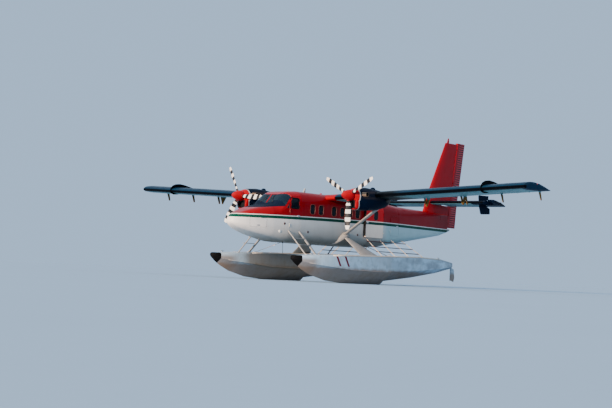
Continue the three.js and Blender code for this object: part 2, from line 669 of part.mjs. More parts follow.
for (const [name, turn] of [['left', (solid) => solid], ['right', mirrored]]) {
  addNode(`wing_${name}`, turn(wing), PAINT_NAVY);
  addNode(`flap_${name}`, turn(flap), PAINT_NAVY);
  addNode(`aileron_${name}`, turn(aileron), PAINT_NAVY);
  addNode(`nacelle_${name}`, turn(nacelle), PAINT_NAVY);
  addNode(`engine_cowling_${name}`, turn(cowling), PAINT_RED);
  addNode(`engine_${name}`, turn(engineCore), STEEL);
}
addNode('wing_centre_fairing', loft([wingRing(-WING_ROOT_Y + TOUCH), wingRing(WING_ROOT_Y - TOUCH)])
  .subtract(skinClear), PAINT_RED);

// Propellers. Columns of a blade section: radius, chord, thickness, pitch in degrees
const BLADE = [
  [90, 110, 100, 40], [230, 120, 95, 40], [420, 190, 52, 34], [800, 225, 30, 24], [1150, 190, 18, 17],
  [PROP_RADIUS, 110, 10, 15],
];
const REST_ANGLES = { left: 30, right: 117 };

function blade(angleDegrees, y) {
  const out = THREE.MathUtils.degToRad(angleDegrees);
  const steps = 10;
  return loft(BLADE.map(([radius, chord, thickness, pitchDegrees]) => Array.from({ length: steps }, (_, i) => {
    const around = (i / steps) * 2 * Math.PI;
    const pitch = THREE.MathUtils.degToRad(pitchDegrees);
    const along = (chord / 2) * Math.cos(around);
    const through = (thickness / 2) * Math.sin(around);
    const tangent = along * Math.cos(pitch) - through * Math.sin(pitch);
    const axial = along * Math.sin(pitch) + through * Math.cos(pitch);
    return point(
      PROP_S + axial,
      y + radius * Math.cos(out) - tangent * Math.sin(out),
      THRUST_Z + radius * Math.sin(out) + tangent * Math.cos(out),
    );
  })));
}

// Columns: s, radius
const SPINNER = [
  [3100, 12], [3150, 75], [3250, 135], [3400, 190], [3520, SPINNER_RADIUS], [SPINNER_END, SPINNER_RADIUS],
];

for (const [name, y] of [['left', ENGINE_Y], ['right', -ENGINE_Y]]) {
  const angles = [0, 120, 240].map((step) => REST_ANGLES[name] + step);
  const hub = barrel(y, THRUST_Z, 3430, 3545, 95, 16);
  const blades = angles.map((angle) => blade(angle, y));
  const shell = loft(SPINNER.map(([s, radius]) => Array.from({ length: 20 }, (_, i) => {
    const around = (i / 20) * 2 * Math.PI;
    return point(s, y + radius * Math.cos(around), THRUST_Z + radius * Math.sin(around));
  })));
  addNode(`propeller_${name}`, joined([hub, ...blades, shell]), PAINT_RED);
}

// Fin and rudder
const HINGE_LOW = { s: 13890, z: 1180 };
const HINGE_HIGH = { s: 14500, z: 4990 };
const HINGE_SLOPE = (HINGE_HIGH.s - HINGE_LOW.s) / (HINGE_HIGH.z - HINGE_LOW.z);
const hingeS = (z) => HINGE_LOW.s + (z - HINGE_LOW.z) * HINGE_SLOPE;
// Columns: z, leading edge s, half thickness
const FIN = [[1600, 12000, 95], [2840, 12510, 80], [4960, 13590, 50]];

function finRing(z, leading, half, trailing, rearHalf) {
  const chord = trailing - leading;
  const fractions = [[0.04, 0.5], [0.15, 0.85], [0.4, 1]];
  const right = fractions.map(([aft, wide]) => [leading + aft * chord, wide * half]);
  const outline = [[leading, 0], ...right, [trailing, rearHalf], [trailing, -rearHalf]];
  for (const [s, y] of [...right].reverse()) outline.push([s, -y]);
  return outline.map(([s, y]) => point(s, y, z));
}

const RUDDER_NOSE = 62;
const finTrailing = (z) => hingeS(z) - RUDDER_NOSE - 8;
const finWhole = loft(FIN.map(([z, leading, half]) => finRing(z, leading, half, finTrailing(z), half * 0.8)));

// Rudder: round nose on the hinge line, thin trailing edge. Columns: z, trailing s
const RUDDER = [[1170, 14560], [2200, 14650], [5020, LENGTH]];
function rudderRing(z, trailing) {
  const outline = [];
  for (let k = 0; k <= 6; k += 1) {
    const angle = Math.PI / 2 + (k / 6) * Math.PI;
    outline.push([hingeS(z) + RUDDER_NOSE * Math.cos(angle), RUDDER_NOSE * Math.sin(angle)]);
  }
  outline.push([trailing, -8], [trailing, 8]);
  return outline.map(([s, y]) => point(s, y, z));
}
const rudderWhole = loft(RUDDER.map(([z, trailing]) => rudderRing(z, trailing)));
const hingeFoot = point(HINGE_LOW.s, 0, HINGE_LOW.z);
const RUDDER_AXIS = point(HINGE_HIGH.s, 0, HINGE_HIGH.z).sub(hingeFoot).normalize();
const rudderHinges = [1750, 3200, 4700].map((z) => lugHinge(point(hingeS(z), 0, z), RUDDER_AXIS, 90, 90));

// Tailplane, elevators and finlets. Section as fractions of a 1500 mm chord
const TAIL_LE = 12500;
const TAIL_SECTION = [[0, 0], [0.03, 0.028], [0.12, 0.052], [0.35, 0.06]];
const ELEVATOR_NOSE = 62;

function tailRing(y, leading, trailing, grow = 0) {
  const chord = 1500;
  const share = Math.min(1, (trailing - leading) / (chord / 2));
  const thick = Math.max(share, 0.65);
  const front = TAIL_SECTION.map(([aft, up]) => [leading + aft * chord * share, up * chord * thick]);
  const rear = [trailing, ELEVATOR_NOSE - 4];
  const upper = [...front.slice(1), rear];
  const outline = [[leading - grow, 0], ...upper.map(([s, z]) => [s, z + grow])];
  for (const [s, z] of [...upper].reverse()) outline.push([s, -z - grow]);
  return outline.map(([s, z]) => point(s, y, TAIL_Z + z));
}

const tailFixedEnd = ELEVATOR_S - ELEVATOR_NOSE - 8;
const HORN_Y = 2860;
const tailFixedHalf = HORN_Y - 8;
// Columns: y, set-back of the leading edge
const TAIL_SPAN = [
  [-tailFixedHalf, 60], [-tailFixedHalf + 60, 0], [tailFixedHalf - 60, 0], [tailFixedHalf, 60],
];
const tailplane = loft(TAIL_SPAN.map(([y, back]) => tailRing(y, TAIL_LE + back, tailFixedEnd)));
const tailClear = loft([
  tailRing(-TAIL_HALF - 50, TAIL_LE, tailFixedEnd + TOUCH, TOUCH),
  tailRing(TAIL_HALF + 50, TAIL_LE, tailFixedEnd + TOUCH, TOUCH),
]);
const FIN_AERIAL = [[13700, 4900], [13880, 4900], [13840, 5180], [13790, 5180]];
const finCut = finWhole.add(sidePrism(FIN_AERIAL, -12, 12)).subtract(skinClear).subtract(tailClear)
  .subtract(box(tailFixedEnd, 14400, -300, 300, TAIL_Z - 90, TAIL_Z + 90));

function elevatorRing(y, trailing) {
  const outline = [];
  for (let k = 0; k <= 6; k += 1) {
    const angle = Math.PI / 2 + (k / 6) * Math.PI;
    outline.push([ELEVATOR_S + ELEVATOR_NOSE * Math.cos(angle), ELEVATOR_NOSE * Math.sin(angle)]);
  }
  outline.push([trailing, -8], [trailing, 8]);
  return outline.map(([s, z]) => point(s, y, TAIL_Z + z));
}
const FINLET_Y = 2440;
const FINLET = [
  [12970, 1750], [13060, 1735], [13620, 1770], [13655, 1800], [13640, 2010], [13330, 2120],
  [13330, 2330], [13505, 2391], [13505, 2560], [12790, 2540], [12760, 2500], [12840, 2040],
];
const finlet = sidePrism(FINLET, FINLET_Y, FINLET_Y + 30);

// The elevator's tip carries a horn that reaches forward past the hinge.
function hornRing(y, leading, half) {
  const outline = [
    [leading, 0], [leading + 40, half * 0.6], [leading + 150, half], [ELEVATOR_S, half], [ELEVATOR_S, -half],
    [leading + 150, -half], [leading + 40, -half * 0.6],
  ];
  return outline.map(([s, z]) => point(s, y, TAIL_Z + z));
}
const elevator = loft([
  elevatorRing(190, 13900), elevatorRing(TAIL_HALF - 60, 13900), elevatorRing(TAIL_HALF, 13820),
]);
const horn = loft([
  hornRing(HORN_Y, 12830, 58), hornRing(TAIL_HALF - 70, 12860, 58), hornRing(TAIL_HALF, 12950, 40),
]);

// The elevators hang a little at rest.
const ELEVATOR_DROOP = 12;
const ELEVATOR_AXIS = new THREE.Vector3(0, 1, 0);
const elevatorPivots = [420, 1600, 2700].map((y) => point(ELEVATOR_S, y, TAIL_Z));
const elevatorHinges = elevatorPivots.map((pivot) => lugHinge(pivot, ELEVATOR_AXIS, 100, 90));
const hungElevator = hangOn(tailplane, elevator, elevatorHinges);
const droopedElevator = rotatedAbout(
  hungElevator.moving.add(horn), point(ELEVATOR_S, 0, TAIL_Z), [0, -ELEVATOR_DROOP, 0],
);
const tailLugs = elevatorHinges.map((h) => h.lug);
const tailFittings = [...tailLugs.map(mirrored), finlet, mirrored(finlet)];
addNode('tailplane', joined([hungElevator.fixed, ...tailFittings]), PAINT_NAVY);
const hungRudder = hangOn(finCut, rudderWhole, rudderHinges);
addNode('fin', hungRudder.fixed, PAINT_RED);
addNode('rudder', hungRudder.moving, PAINT_RED);
addNode('elevator_left', droopedElevator, PAINT_NAVY);
addNode('elevator_right', mirrored(droopedElevator), PAINT_NAVY);

// Floats. Columns: s, half beam, deck z, chine z, keel z
const FLOAT = [
  [1650, 226, -495, -715, -905],
  [1850, 300, -480, -745, -1010],
  [2300, 420, -455, -795, -1190],
  [3200, 530, -410, -865, -1390],
  [4200, 560, -385, -940, -KEEL_DEPTH],
  [6600, 560, -320, -970, -KEEL_DEPTH],
  [6605, 560, -320, -930, -1340],
  [8600, 500, -275, -830, -1130],
  [10300, 330, -310, -700, -890],
  [11350, 130, -420, -600, -680],
];
const BUMPER = [
  [1350, 95, -525, -600, -655], [1400, 140, -505, -630, -735], [1500, 190, -498, -675, -820],
  [1650 - TOUCH, 228, -494, -716, -907],
];
function floatRing([s, half, deck, chine, keel]) {
  const roll = Math.min(70, half * 0.4);
  const outline = [
    [half - roll, deck], [half - roll * 0.3, deck - roll * 0.3], [half, deck - roll], [half, chine], [0, keel],
    [-half, chine], [-half, deck - roll], [-half + roll * 0.3, deck - roll * 0.3], [-half + roll, deck],
  ];
  return outline.map(([y, z]) => point(s, FLOAT_Y + y, z));
}
const floatHull = loft(FLOAT.map(floatRing));
const floatClear = floatHull.add(floatHull.translate([0, 0, TOUCH]));
const bumper = loft(BUMPER.map(floatRing));

function deckAt(s) {
  const next = FLOAT.findIndex((row) => row[0] >= s);
  const [a, b] = [FLOAT[next - 1], FLOAT[next]];
  return a[2] + ((s - a[0]) / (b[0] - a[0])) * (b[2] - a[2]);
}

// Water rudder behind each float, on a vertical pin between two lugs, with a collar that fills the room
// between them
const RUDDER_PIN = { s: 11410, radius: 28, hole: 30, collar: 45 };
const RUDDER_BLADE = [[11400, -1160], [11430, -620], [11640, -700], [11700, -1050], [11640, -1230]];
const BLADE_HALF = 8;
const LUG_LEVELS = [[-560, -540], [-480, -460]];
const waterRudder = joined([
  barrelUp(RUDDER_PIN.s, FLOAT_Y, -1180, -440, RUDDER_PIN.radius),
  barrelUp(RUDDER_PIN.s, FLOAT_Y, LUG_LEVELS[0][1] + TOUCH, LUG_LEVELS[1][0] - TOUCH, RUDDER_PIN.collar),
  sidePrism(RUDDER_BLADE, FLOAT_Y - BLADE_HALF, FLOAT_Y + BLADE_HALF),
]);

function barrelUp(s, y, z0, z1, radius, sides = 12) {
  const ring = (z) => Array.from({ length: sides }, (_, i) => {
    const angle = (i / sides) * 2 * Math.PI;
    return point(s + radius * Math.cos(angle), y + radius * Math.sin(angle), z);
  });
  return loft([ring(z0), ring(z1)]);
}
const lugPlates = LUG_LEVELS.map(([z0, z1]) => box(11300, 11450, FLOAT_Y - 40, FLOAT_Y + 40, z0, z1));
const rudderLugs = joined(lugPlates).subtract(barrelUp(RUDDER_PIN.s, FLOAT_Y, -1200, -400, RUDDER_PIN.hole));

// Float struts, boarding rack and the stub fairing under each side of the cabin
const FOOT_SINK = 40;
const stepBar = (y, z) => box(2400, 3080, y - 30, y + 30, z - 12, z + 12);
const frontStruts = joined([
  strut([[2450, 800, 480, 60, 60], [2470, 1790, deckAt(2470) - FOOT_SINK, 60, 60]]),
  strut([[3080, 800, 485, 130, 75], [3050, 1780, deckAt(3050) - FOOT_SINK, 130, 75]]),
  stepBar(1160, 160), stepBar(1440, -80),
]).subtract(skinClear).subtract(floatClear);
const mainLeg = (grow) => strut([
  [5760, 930, 370, 220 + grow, 130 + grow], [6270, 1810, deckAt(5680) - 10, 1180 + grow, 150 + grow],
], 14).subtract(floatClear);
const rearStrut = strut([
  [7100, 720, 120, 60, 60], [7750, 1650, deckAt(7750) - FOOT_SINK, 60, 60],
]).subtract(skinClear).subtract(floatClear);
// Columns of the fairing: s, y, z, half width, half height
const STUB = [
  [5130, 745, 45, 30, 30], [5320, 790, 140, 85, 80], [5540, 850, 300, 140, 130], [5720, 880, 410, 165, 150],
  [5900, 885, 430, 150, 130], [6100, 860, 420, 50, 60],
];
const stub = (grow) => loft(STUB.map(([s, y, z, wide, tall]) => Array.from({ length: 12 }, (_, i) => {
  const angle = (i / 12) * 2 * Math.PI;
  return point(s, y + (wide + grow) * Math.cos(angle), z + (tall + grow) * Math.sin(angle));
})));

const BARS = [[7180, 9620, 960, 270], [7180, 9780, 1220, 50], [7180, 9960, 1440, -140]];
const STRINGERS = [[7200, 7200], [8050, 8050], [8850, 9000], [9560, 10080]];
const rack = joined([
  ...BARS.map(([s0, s1, y, z]) => box(s0, s1, y - 45, y + 45, z - 16, z + 16)),
  ...STRINGERS.map(([sTop, sFoot]) => strut([
    [sTop, 780, 422, 36, 50], [sFoot, 1700, deckAt(sFoot) - 10, 36, 50],
  ], 8)),
]).subtract(skinClear).subtract(floatClear);

const strutClear = joined([skinClear, stub(TOUCH), mainLeg(2 * TOUCH)]);

for (const [name, turn] of [['left', (solid) => solid], ['right', mirrored]]) {
  addNode(`float_${name}`, turn(floatHull.add(rudderLugs)), ALUMINIUM);
  addNode(`float_bumper_${name}`, turn(bumper), RUBBER);
  addNode(`water_rudder_${name}`, turn(waterRudder), ALUMINIUM);
  addNode(`float_struts_front_${name}`, turn(frontStruts), ALUMINIUM);
  addNode(`float_strut_rear_${name}`, turn(rearStrut), DARK_RED);
  addNode(`float_main_leg_${name}`, turn(joined([mainLeg(0), stub(0)]).subtract(skinClear)), ALUMINIUM);
  addNode(`wing_strut_${name}`, turn(strutSolid.subtract(strutClear)), ALUMINIUM);
  addNode(`boarding_rack_${name}`, turn(rack), DARK_RED);
}

export default aircraft;
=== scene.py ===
import json
import math
from functools import reduce

import bmesh
import bpy
from mathutils import Matrix, Vector

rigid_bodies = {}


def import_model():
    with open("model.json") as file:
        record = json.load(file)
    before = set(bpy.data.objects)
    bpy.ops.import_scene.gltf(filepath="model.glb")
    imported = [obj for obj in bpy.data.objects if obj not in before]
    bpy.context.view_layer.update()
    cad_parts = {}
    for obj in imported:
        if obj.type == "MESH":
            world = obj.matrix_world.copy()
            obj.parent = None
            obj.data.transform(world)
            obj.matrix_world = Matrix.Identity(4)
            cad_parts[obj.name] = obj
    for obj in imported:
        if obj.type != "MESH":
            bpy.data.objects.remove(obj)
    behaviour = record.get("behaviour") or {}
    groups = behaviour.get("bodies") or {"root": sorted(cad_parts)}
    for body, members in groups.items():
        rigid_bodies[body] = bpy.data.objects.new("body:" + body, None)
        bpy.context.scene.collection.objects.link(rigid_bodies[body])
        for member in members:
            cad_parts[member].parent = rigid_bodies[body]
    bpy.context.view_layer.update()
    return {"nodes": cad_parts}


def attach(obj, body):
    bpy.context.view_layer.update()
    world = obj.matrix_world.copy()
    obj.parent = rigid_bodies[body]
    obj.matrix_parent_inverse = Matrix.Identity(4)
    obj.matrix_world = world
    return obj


for stray in list(bpy.data.objects):
    bpy.data.objects.remove(stray)
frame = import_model()

# Twin-engine high-wing floatplane. Metres, in the row frame: +X forward, +Y port, +Z up.
# Sizes are given as stations: s is the distance aft of the nose tip, z the height above the belly.
NOSE_X = 7.545
KEEL_DEPTH = 1.47
WING_LE = 4.6
CHORD = 1.98
WING_ROOT_Z = 1.78
DIHEDRAL = 0.047
ENGINE_Y = 2.87
THRUST_Z = 1.86
PROP_RADIUS = 1.295
FLOAT_Y = 2.1
# Rudder hinge line, as (s, z) of its foot and head
HINGE_FOOT = (13.89, 1.18)
HINGE_HEAD = (14.5, 4.99)
HINGE_SLOPE = (HINGE_HEAD[0] - HINGE_FOOT[0]) / (HINGE_HEAD[1] - HINGE_FOOT[1])
BEAD_PITCH = 0.098
BODY = "airframe"
SIDES = (("left", 1), ("right", -1))
UP = Vector((0, 0, 1))

# Fuselage outline. Columns: s, half width, bottom z, top z, bottom corner radius, top corner radius
HULL = [
    (0, .045, .64, .735, .04, .04), (.018, .135, .565, .81, .11, .11), (.07, .235, .48, .885, .18, .18),
    (.2, .345, .375, .955, .22, .25), (.45, .47, .28, 1.045, .25, .3), (.9, .6, .19, 1.175, .27, .33),
    (1.35, .705, .11, 1.285, .28, .36), (1.72, .765, .07, 1.37, .28, .37), (2.01, .8, .045, 1.44, .28, .39),
    (2.36, .84, .02, 1.83, .28, .5), (2.65, .862, .008, 1.94, .28, .5), (3.12, .875, 0, 1.99, .28, .43),
    (7.21, .875, 0, 1.99, .28, .43), (8.28, .868, .095, 1.93, .28, .43), (9.5, .78, .27, 1.84, .28, .4),
    (12.02, .43, .62, 1.79, .2, .3), (13.1, .27, .78, 1.77, .13, .18), (13.77, .17, .955, 1.755, .08, .1),
]

# Float outline. Columns: s, half width, deck z, chine z
FLOAT_ROWS = [
    (1.65, .226, -.495, -.715), (1.85, .3, -.48, -.745), (2.3, .42, -.455, -.795), (3.2, .53, -.41, -.865),
    (4.2, .56, -.385, -.94), (6.6, .56, -.32, -.97), (6.605, .56, -.32, -.93), (8.6, .5, -.275, -.83),
    (10.3, .33, -.31, -.7), (11.35, .13, -.42, -.6),
]


def at(s, y, z):
    return Vector((NOSE_X - s, y, z + KEEL_DEPTH))


def between(rows, s):
    """The row at a station, from the rows on either side of it."""
    for a, b in zip(rows, rows[1:]):
        if s <= b[0]:
            t = (s - a[0]) / (b[0] - a[0])
            return [p + t * (q - p) for p, q in zip(a, b)]
    return list(rows[-1])


def hull_y(s, z):
    """Half width of the skin at a station and height."""
    _, half, bottom, top, low, up = between(HULL, s)
    if z > top - up:
        return half - up + math.sqrt(max(up * up - (z - top + up) ** 2, 0))
    if z < bottom + low:
        return half - low + math.sqrt(max(low * low - (bottom + low - z) ** 2, 0))
    return half


def hull_z(s, y):
    """Height of the upper skin at a station and distance from the middle."""
    _, half, _, top, _, up = between(HULL, s)
    off = max(abs(y) - half + up, 0)
    return top - up + math.sqrt(max(up * up - off * off, 0))


def wing_z(y):
    return WING_ROOT_Z + DIHEDRAL * abs(y)


def float_at(s):
    """Half width, deck height and chine height of a float at a station."""
    return between(FLOAT_ROWS, s)[1:]


def deck_z(s):
    return float_at(s)[1]


# Piece helpers
WELD = 1e-5
POINT = 1e-4
STEEP = 0.8
ROD_LIP = 0.3
SUNK = 0.004
FRAME_SUNK = 0.002
FRAME_LAP = 0.004
PANE_CORE = 0.02


def added(name, data):
    ob = bpy.data.objects.new(name, data)
    bpy.context.scene.collection.objects.link(ob)
    return ob


def piece(name, bm, material, body=BODY):
    mesh = bpy.data.meshes.new(name)
    bmesh.ops.recalc_face_normals(bm, faces=bm.faces)
    bm.to_mesh(mesh)
    bm.free()
    for face in mesh.polygons:
        face.use_smooth = True
    mesh.materials.append(material)
    ob = added(name, mesh)
    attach(ob, body)
    return ob


def rings(bm, loops, capped=True):
    """A skin through loops of points, each with the same count."""
    made = [[bm.verts.new(p) for p in loop] for loop in loops]
    count = len(made[0])
    for a, b in zip(made, made[1:]):
        for i in range(count):
            j = (i + 1) % count
            bm.faces.new((a[i], a[j], b[j], b[i]))
    if capped:
        bm.faces.new(list(reversed(made[0])))
        bm.faces.new(made[-1])


def circle(centre, along, radius, count=12):
    along = along.normalized()
    aside = Vector((1, 0, 0)) if abs(along.z) > STEEP else UP
    u = (aside - along * aside.dot(along)).normalized()
    v = along.cross(u)
    angles = [math.tau * i / count for i in range(count)]
    return [centre + u * radius * math.cos(a) + v * radius * math.sin(a) for a in angles]


def turned(bm, start, along, profile, count=20):
    """A turned form: (distance along, radius) pairs about an axis."""
    along = along.normalized()
    rings(bm, [circle(start + along * d, along, max(r, POINT), count) for d, r in profile])


def rod(bm, start, end, radius, count=10):
    lip, length = radius * ROD_LIP, (end - start).length
    profile = [(0, radius - lip), (lip, radius), (length - lip, radius), (length, radius - lip)]
    turned(bm, start, end - start, profile, count)


def rounded(s0, s1, z0, z1, radius, steps=6):
    """Rounded rectangle outline, as (s, z) points."""
    corners = [(s1 - radius, z1 - radius, 0), (s0 + radius, z1 - radius, 1),
               (s0 + radius, z0 + radius, 2), (s1 - radius, z0 + radius, 3)]
    outline = []
    for cs, cz, quarter in corners:
        for k in range(steps + 1):
            a = (quarter + k / steps) * math.pi / 2
            outline.append((cs + radius * math.cos(a), cz + radius * math.sin(a)))
    return outline


def centre_of(outline):
    return [sum(c) / len(outline) for c in zip(*outline)]


def grown(outline, by):
    """A convex outline moved outward by a distance."""
    centre = centre_of(outline)
    moved = []
    for i, p in enumerate(outline):
        before, after = outline[i - 1], outline[(i + 1) % len(outline)]
        tangent = (after[0] - before[0], after[1] - before[1])
        size = math.hypot(*tangent) or 1
        normal = (tangent[1] / size, -tangent[0] / size)
        if normal[0] * (p[0] - centre[0]) + normal[1] * (p[1] - centre[1]) < 0:
            normal = (-normal[0], -normal[1])
        moved.append((p[0] + normal[0] * by, p[1] + normal[1] * by))
    return moved


def on_skin(outline, side, out):
    return [at(s, side * (hull_y(s, z) + out), z) for s, z in outline]


def window_ring(bm, outline, side, width, proud, deep):
    """A moulded frame round an opening, following the skin."""
    outer, mid, inner = grown(outline, width), grown(outline, width / 2), grown(outline, -FRAME_LAP)
    loops = [
        on_skin(outer, side, -FRAME_SUNK), on_skin(outer, side, proud / 2), on_skin(mid, side, proud),
        on_skin(inner, side, proud / 2), on_skin(inner, side, -deep), on_skin(outline, side, -deep),
    ]
    rings(bm, loops + [loops[0]], capped=False)
    bmesh.ops.remove_doubles(bm, verts=bm.verts, dist=WELD)


def skin_pane(bm, outline, side, out, thick, steps=4):
    """A pane that follows the skin, from nested loops of its outline."""
    centre = centre_of(outline)

    def loop(share, offset):
        return on_skin([(centre[0] + (s - centre[0]) * share, centre[1] + (z - centre[1]) * share)
                        for s, z in outline], side, offset)
    shares = [1 - k / steps for k in range(steps)] + [PANE_CORE]
    rings(bm, [loop(k, out) for k in reversed(shares)] + [loop(k, out - thick) for k in shares])


# Colours, in linear light
# Near black: sooty wear in worn patches, and painted shade at the intakes, hinge knuckles, ajar door edge
# and wing strut heads
SOOT_AND_SHADE = (0.008, 0.008, 0.009)
SEAM = (0.02, 0.02, 0.02)
RED = (0.21, 0.0006, 0.004)
BRIGHT_RED = (0.30, 0.0003, 0.005)
FIN_RED = (0.27, 0.0006, 0.005)
# Painted light: the ajar left cabin door's red, brighter as if lit
DOOR_LIT_RED = (0.55, 0.0006, 0.004)
# Painted sheen over the rudder's beads, and painted shade between them
BEAD_SHEEN_RED = (0.5, 0.06, 0.075)
BEAD_GAP_SHADE = (0.012, 0.001, 0.002)
STRIPE_RED = (0.11, 0.003, 0.008)
WHITE = (0.62, 0.605, 0.57)
# Painted light: the ajar left cabin door's white, brighter and warmer as if lit
DOOR_LIT_WHITE = (1.0, 0.78, 0.63)
BLADE_WHITE = (0.62, 0.61, 0.58)
BLADE_BLACK = (0.014, 0.015, 0.018)
COWL_LINE = (0.34, 0.34, 0.33)
NAVY = (0.0012, 0.0055, 0.017)
# Navy of the wing's top, lighter and bluer as a painted sheen of the sky
WING_SHEEN_BLUE = (0.003, 0.020, 0.045)
WING_STREAK = (0.012, 0.013, 0.014)
# Darker wing behind each engine
BEHIND_ENGINE_DARK = (0.002, 0.003, 0.004)
BOOT = (0.0010, 0.0016, 0.003)
GREEN = (0.0, 0.045, 0.026)
# Pale underside of the wings and tailplane, tinted teal as a painted reflection of water
REFLECTED_TEAL_GREY = (0.105, 0.26, 0.275)
# Painted reflection of water: teal on the lower aft fuselage
REAR_REFLECTED_TEAL = (0.26, 0.44, 0.47)
BELLY_GREY = (0.07, 0.075, 0.065)
DUST = (0.22, 0.19, 0.15)
GRIME = (0.12, 0.11, 0.09)
STAIN = (0.20, 0.13, 0.085)
BRACKET = (0.16, 0.085, 0.022)
STRUT_GREY = (0.31, 0.295, 0.275)
FLOAT_BLUE = (0.38, 0.52, 0.63)
FLOAT_CHIP = (0.25, 0.33, 0.39)
FLOAT_STREAK = (0.25, 0.24, 0.22)
FLOAT_AFT = (0.17, 0.17, 0.18)
# Painted shade for the floats' sides that face the hull
FLOAT_INBOARD_SHADE = (0.18, 0.155, 0.12)
FLOAT_BOW = (0.17, 0.12, 0.085)
RUNG_BUFF = (0.42, 0.37, 0.32)
RACK_BAR = (0.055, 0.016, 0.018)
CLOTH_BLUE = (0.035, 0.05, 0.085)
CLOTH_THREAD = (0.06, 0.085, 0.13)

# Sheet metal: a seam's width, then the rivet row's width, distance, pitch and length
SEAM_WIDTH = 0.004
RIVET_ROW = 0.01
RIVET_OFFSET = 0.02
RIVET_PITCH = 0.04
RIVET_LENGTH = 0.012
SHEET_BUMP = 0.0015
# Softness of a painted edge, the middle of a noise's range, and a Mix node's colour sockets
EDGE = 0.004
SOFT = (0.3, 0.7)
MIX_A, MIX_B, MIX_RESULT = 6, 7, 2
COAT_ROUGHNESS = 0.1


def fixed(node, **values):
    """Sets a node's own sockets. Underscores stand for spaces."""
    for socket, value in values.items():
        node.inputs[socket.replace("_", " ")].default_value = value
    return node


class Shader:
    """A node material, with short calls for the maths in it."""

    def __init__(self, name, roughness=0.4, metallic=0.0, coat=0.0, gloss=0.2):
        self.material = bpy.data.materials.new(name)
        self.material.use_nodes = True
        tree = self.material.node_tree
        self.add, self.link = tree.nodes.new, tree.links.new
        self.bsdf = fixed(tree.nodes["Principled BSDF"], Roughness=roughness, Metallic=metallic,
                          Coat_Weight=coat, Coat_Roughness=COAT_ROUGHNESS, Specular_IOR_Level=gloss)
        self.place = self.add("ShaderNodeTexCoord").outputs["Object"]
        split = self.add("ShaderNodeSeparateXYZ")
        self.link(self.place, split.inputs[0])
        self.x, self.y, self.zed = split.outputs
        self.s = self.less(NOSE_X, self.x)
        self.z = self.less(self.zed, KEEL_DEPTH)
        self.far = self.math("ABSOLUTE", self.y)

    def feed(self, socket, value):
        if isinstance(value, bpy.types.NodeSocket):
            self.link(value, socket)
        elif isinstance(value, (tuple, list)) and len(value) == 3 and socket.type == "RGBA":
            socket.default_value = (*value, 1)
        else:
            socket.default_value = value

    def math(self, op, *values, clamp=False):
        node = self.add("ShaderNodeMath")
        node.operation = op
        node.use_clamp = clamp
        for socket, value in zip(node.inputs, values):
            self.feed(socket, value)
        return node.outputs[0]

    def plus(self, a, b):
        return self.math("ADD", a, b)

    def less(self, a, b):
        return self.math("SUBTRACT", a, b)

    def line(self, value, slope, start):
        """A straight line over a value."""
        return self.math("MULTIPLY_ADD", value, slope, start)

    def above(self, value, edge, soft=EDGE):
        """0 below the edge and 1 above it."""
        return self.math("MULTIPLY_ADD", self.less(value, edge), 1 / soft, 0.5, clamp=True)

    def outside(self, mask):
        return self.less(1, mask)

    def below(self, value, edge, soft=EDGE):
        return self.outside(self.above(value, edge, soft))

    def within(self, value, low, high, soft=EDGE):
        return self.both(self.above(value, low, soft), self.below(value, high, soft))

    def both(self, *masks):
        return reduce(lambda a, b: self.math("MULTIPLY", a, b), masks)

    def either(self, *masks):
        return reduce(lambda a, b: self.math("MAXIMUM", a, b), masks)

    def mix(self, share, a, b):
        node = self.add("ShaderNodeMix")
        node.data_type = "RGBA"
        self.feed(node.inputs[0], share)
        self.feed(node.inputs[MIX_A], a)
        self.feed(node.inputs[MIX_B], b)
        return node.outputs[MIX_RESULT]

    def veil(self, base, mask, cover, colour):
        """A colour that covers the base by this much under the mask."""
        return self.mix(self.both(mask, cover), base, colour)

    def noise(self, scale, detail=3.0, stretch=(1, 1, 1)):
        mapping = fixed(self.add("ShaderNodeMapping"), Scale=stretch)
        self.link(self.place, mapping.inputs[0])
        node = fixed(self.add("ShaderNodeTexNoise"), Scale=scale, Detail=detail)
        self.link(mapping.outputs[0], node.inputs["Vector"])
        return node.outputs["Fac"]

    def spread(self, value, low, high, to_low=0.0, to_high=1.0):
        node = self.add("ShaderNodeMapRange")
        for socket, given in zip(node.inputs, (value, low, high, to_low, to_high)):
            self.feed(socket, given)
        return node.outputs[0]

    def patches(self, scale, detail, band, least=0.0, most=1.0, stretch=(1, 1, 1)):
        """Noise, from the least below its band to the most above it."""
        return self.spread(self.noise(scale, detail, stretch), *band, least, most)

    def worn(self, colour, amount=0.12, scale=2.5):
        """Uneven colour: large soft patches under a fine grain."""
        large = self.patches(scale, 5, (0.35, 0.7), 0, amount)
        grain = self.patches(scale * 30, 2, (0.4, 0.7), 0, amount / 2)
        return self.mix(grain, self.mix(large, colour, SOOT_AND_SHADE), SOOT_AND_SHADE)

    def bump(self, height, strength=0.3, distance=0.002):
        node = fixed(self.add("ShaderNodeBump"), Strength=strength, Distance=distance)
        self.feed(node.inputs["Height"], height)
        self.link(node.outputs[0], self.bsdf.inputs["Normal"])

    def lines(self, value, pitch, width):
        """1 on narrow lines at every pitch of a value."""
        offset = self.math("PINGPONG", value, pitch / 2)
        return self.below(offset, width / 2, width / 2)

    def sheets(self, base, along, across, pitch, shade=0.4, strength=0.4):
        """Seams at every pitch, each with a row of rivets."""
        seam = self.lines(along, pitch, SEAM_WIDTH)
        row = self.lines(self.plus(along, RIVET_OFFSET), pitch, RIVET_ROW)
        rivets = self.both(row, self.lines(across, RIVET_PITCH, RIVET_LENGTH))
        self.bump(self.less(rivets, seam), strength, SHEET_BUMP)
        return self.veil(base, seam, shade, SEAM)

    def finish(self, colour, roughness=None):
        self.feed(self.bsdf.inputs["Base Color"], colour)
        if roughness is not None:
            self.feed(self.bsdf.inputs["Roughness"], roughness)
        return self.material


# Finishes. Each names the stations, heights and shares that it needs.

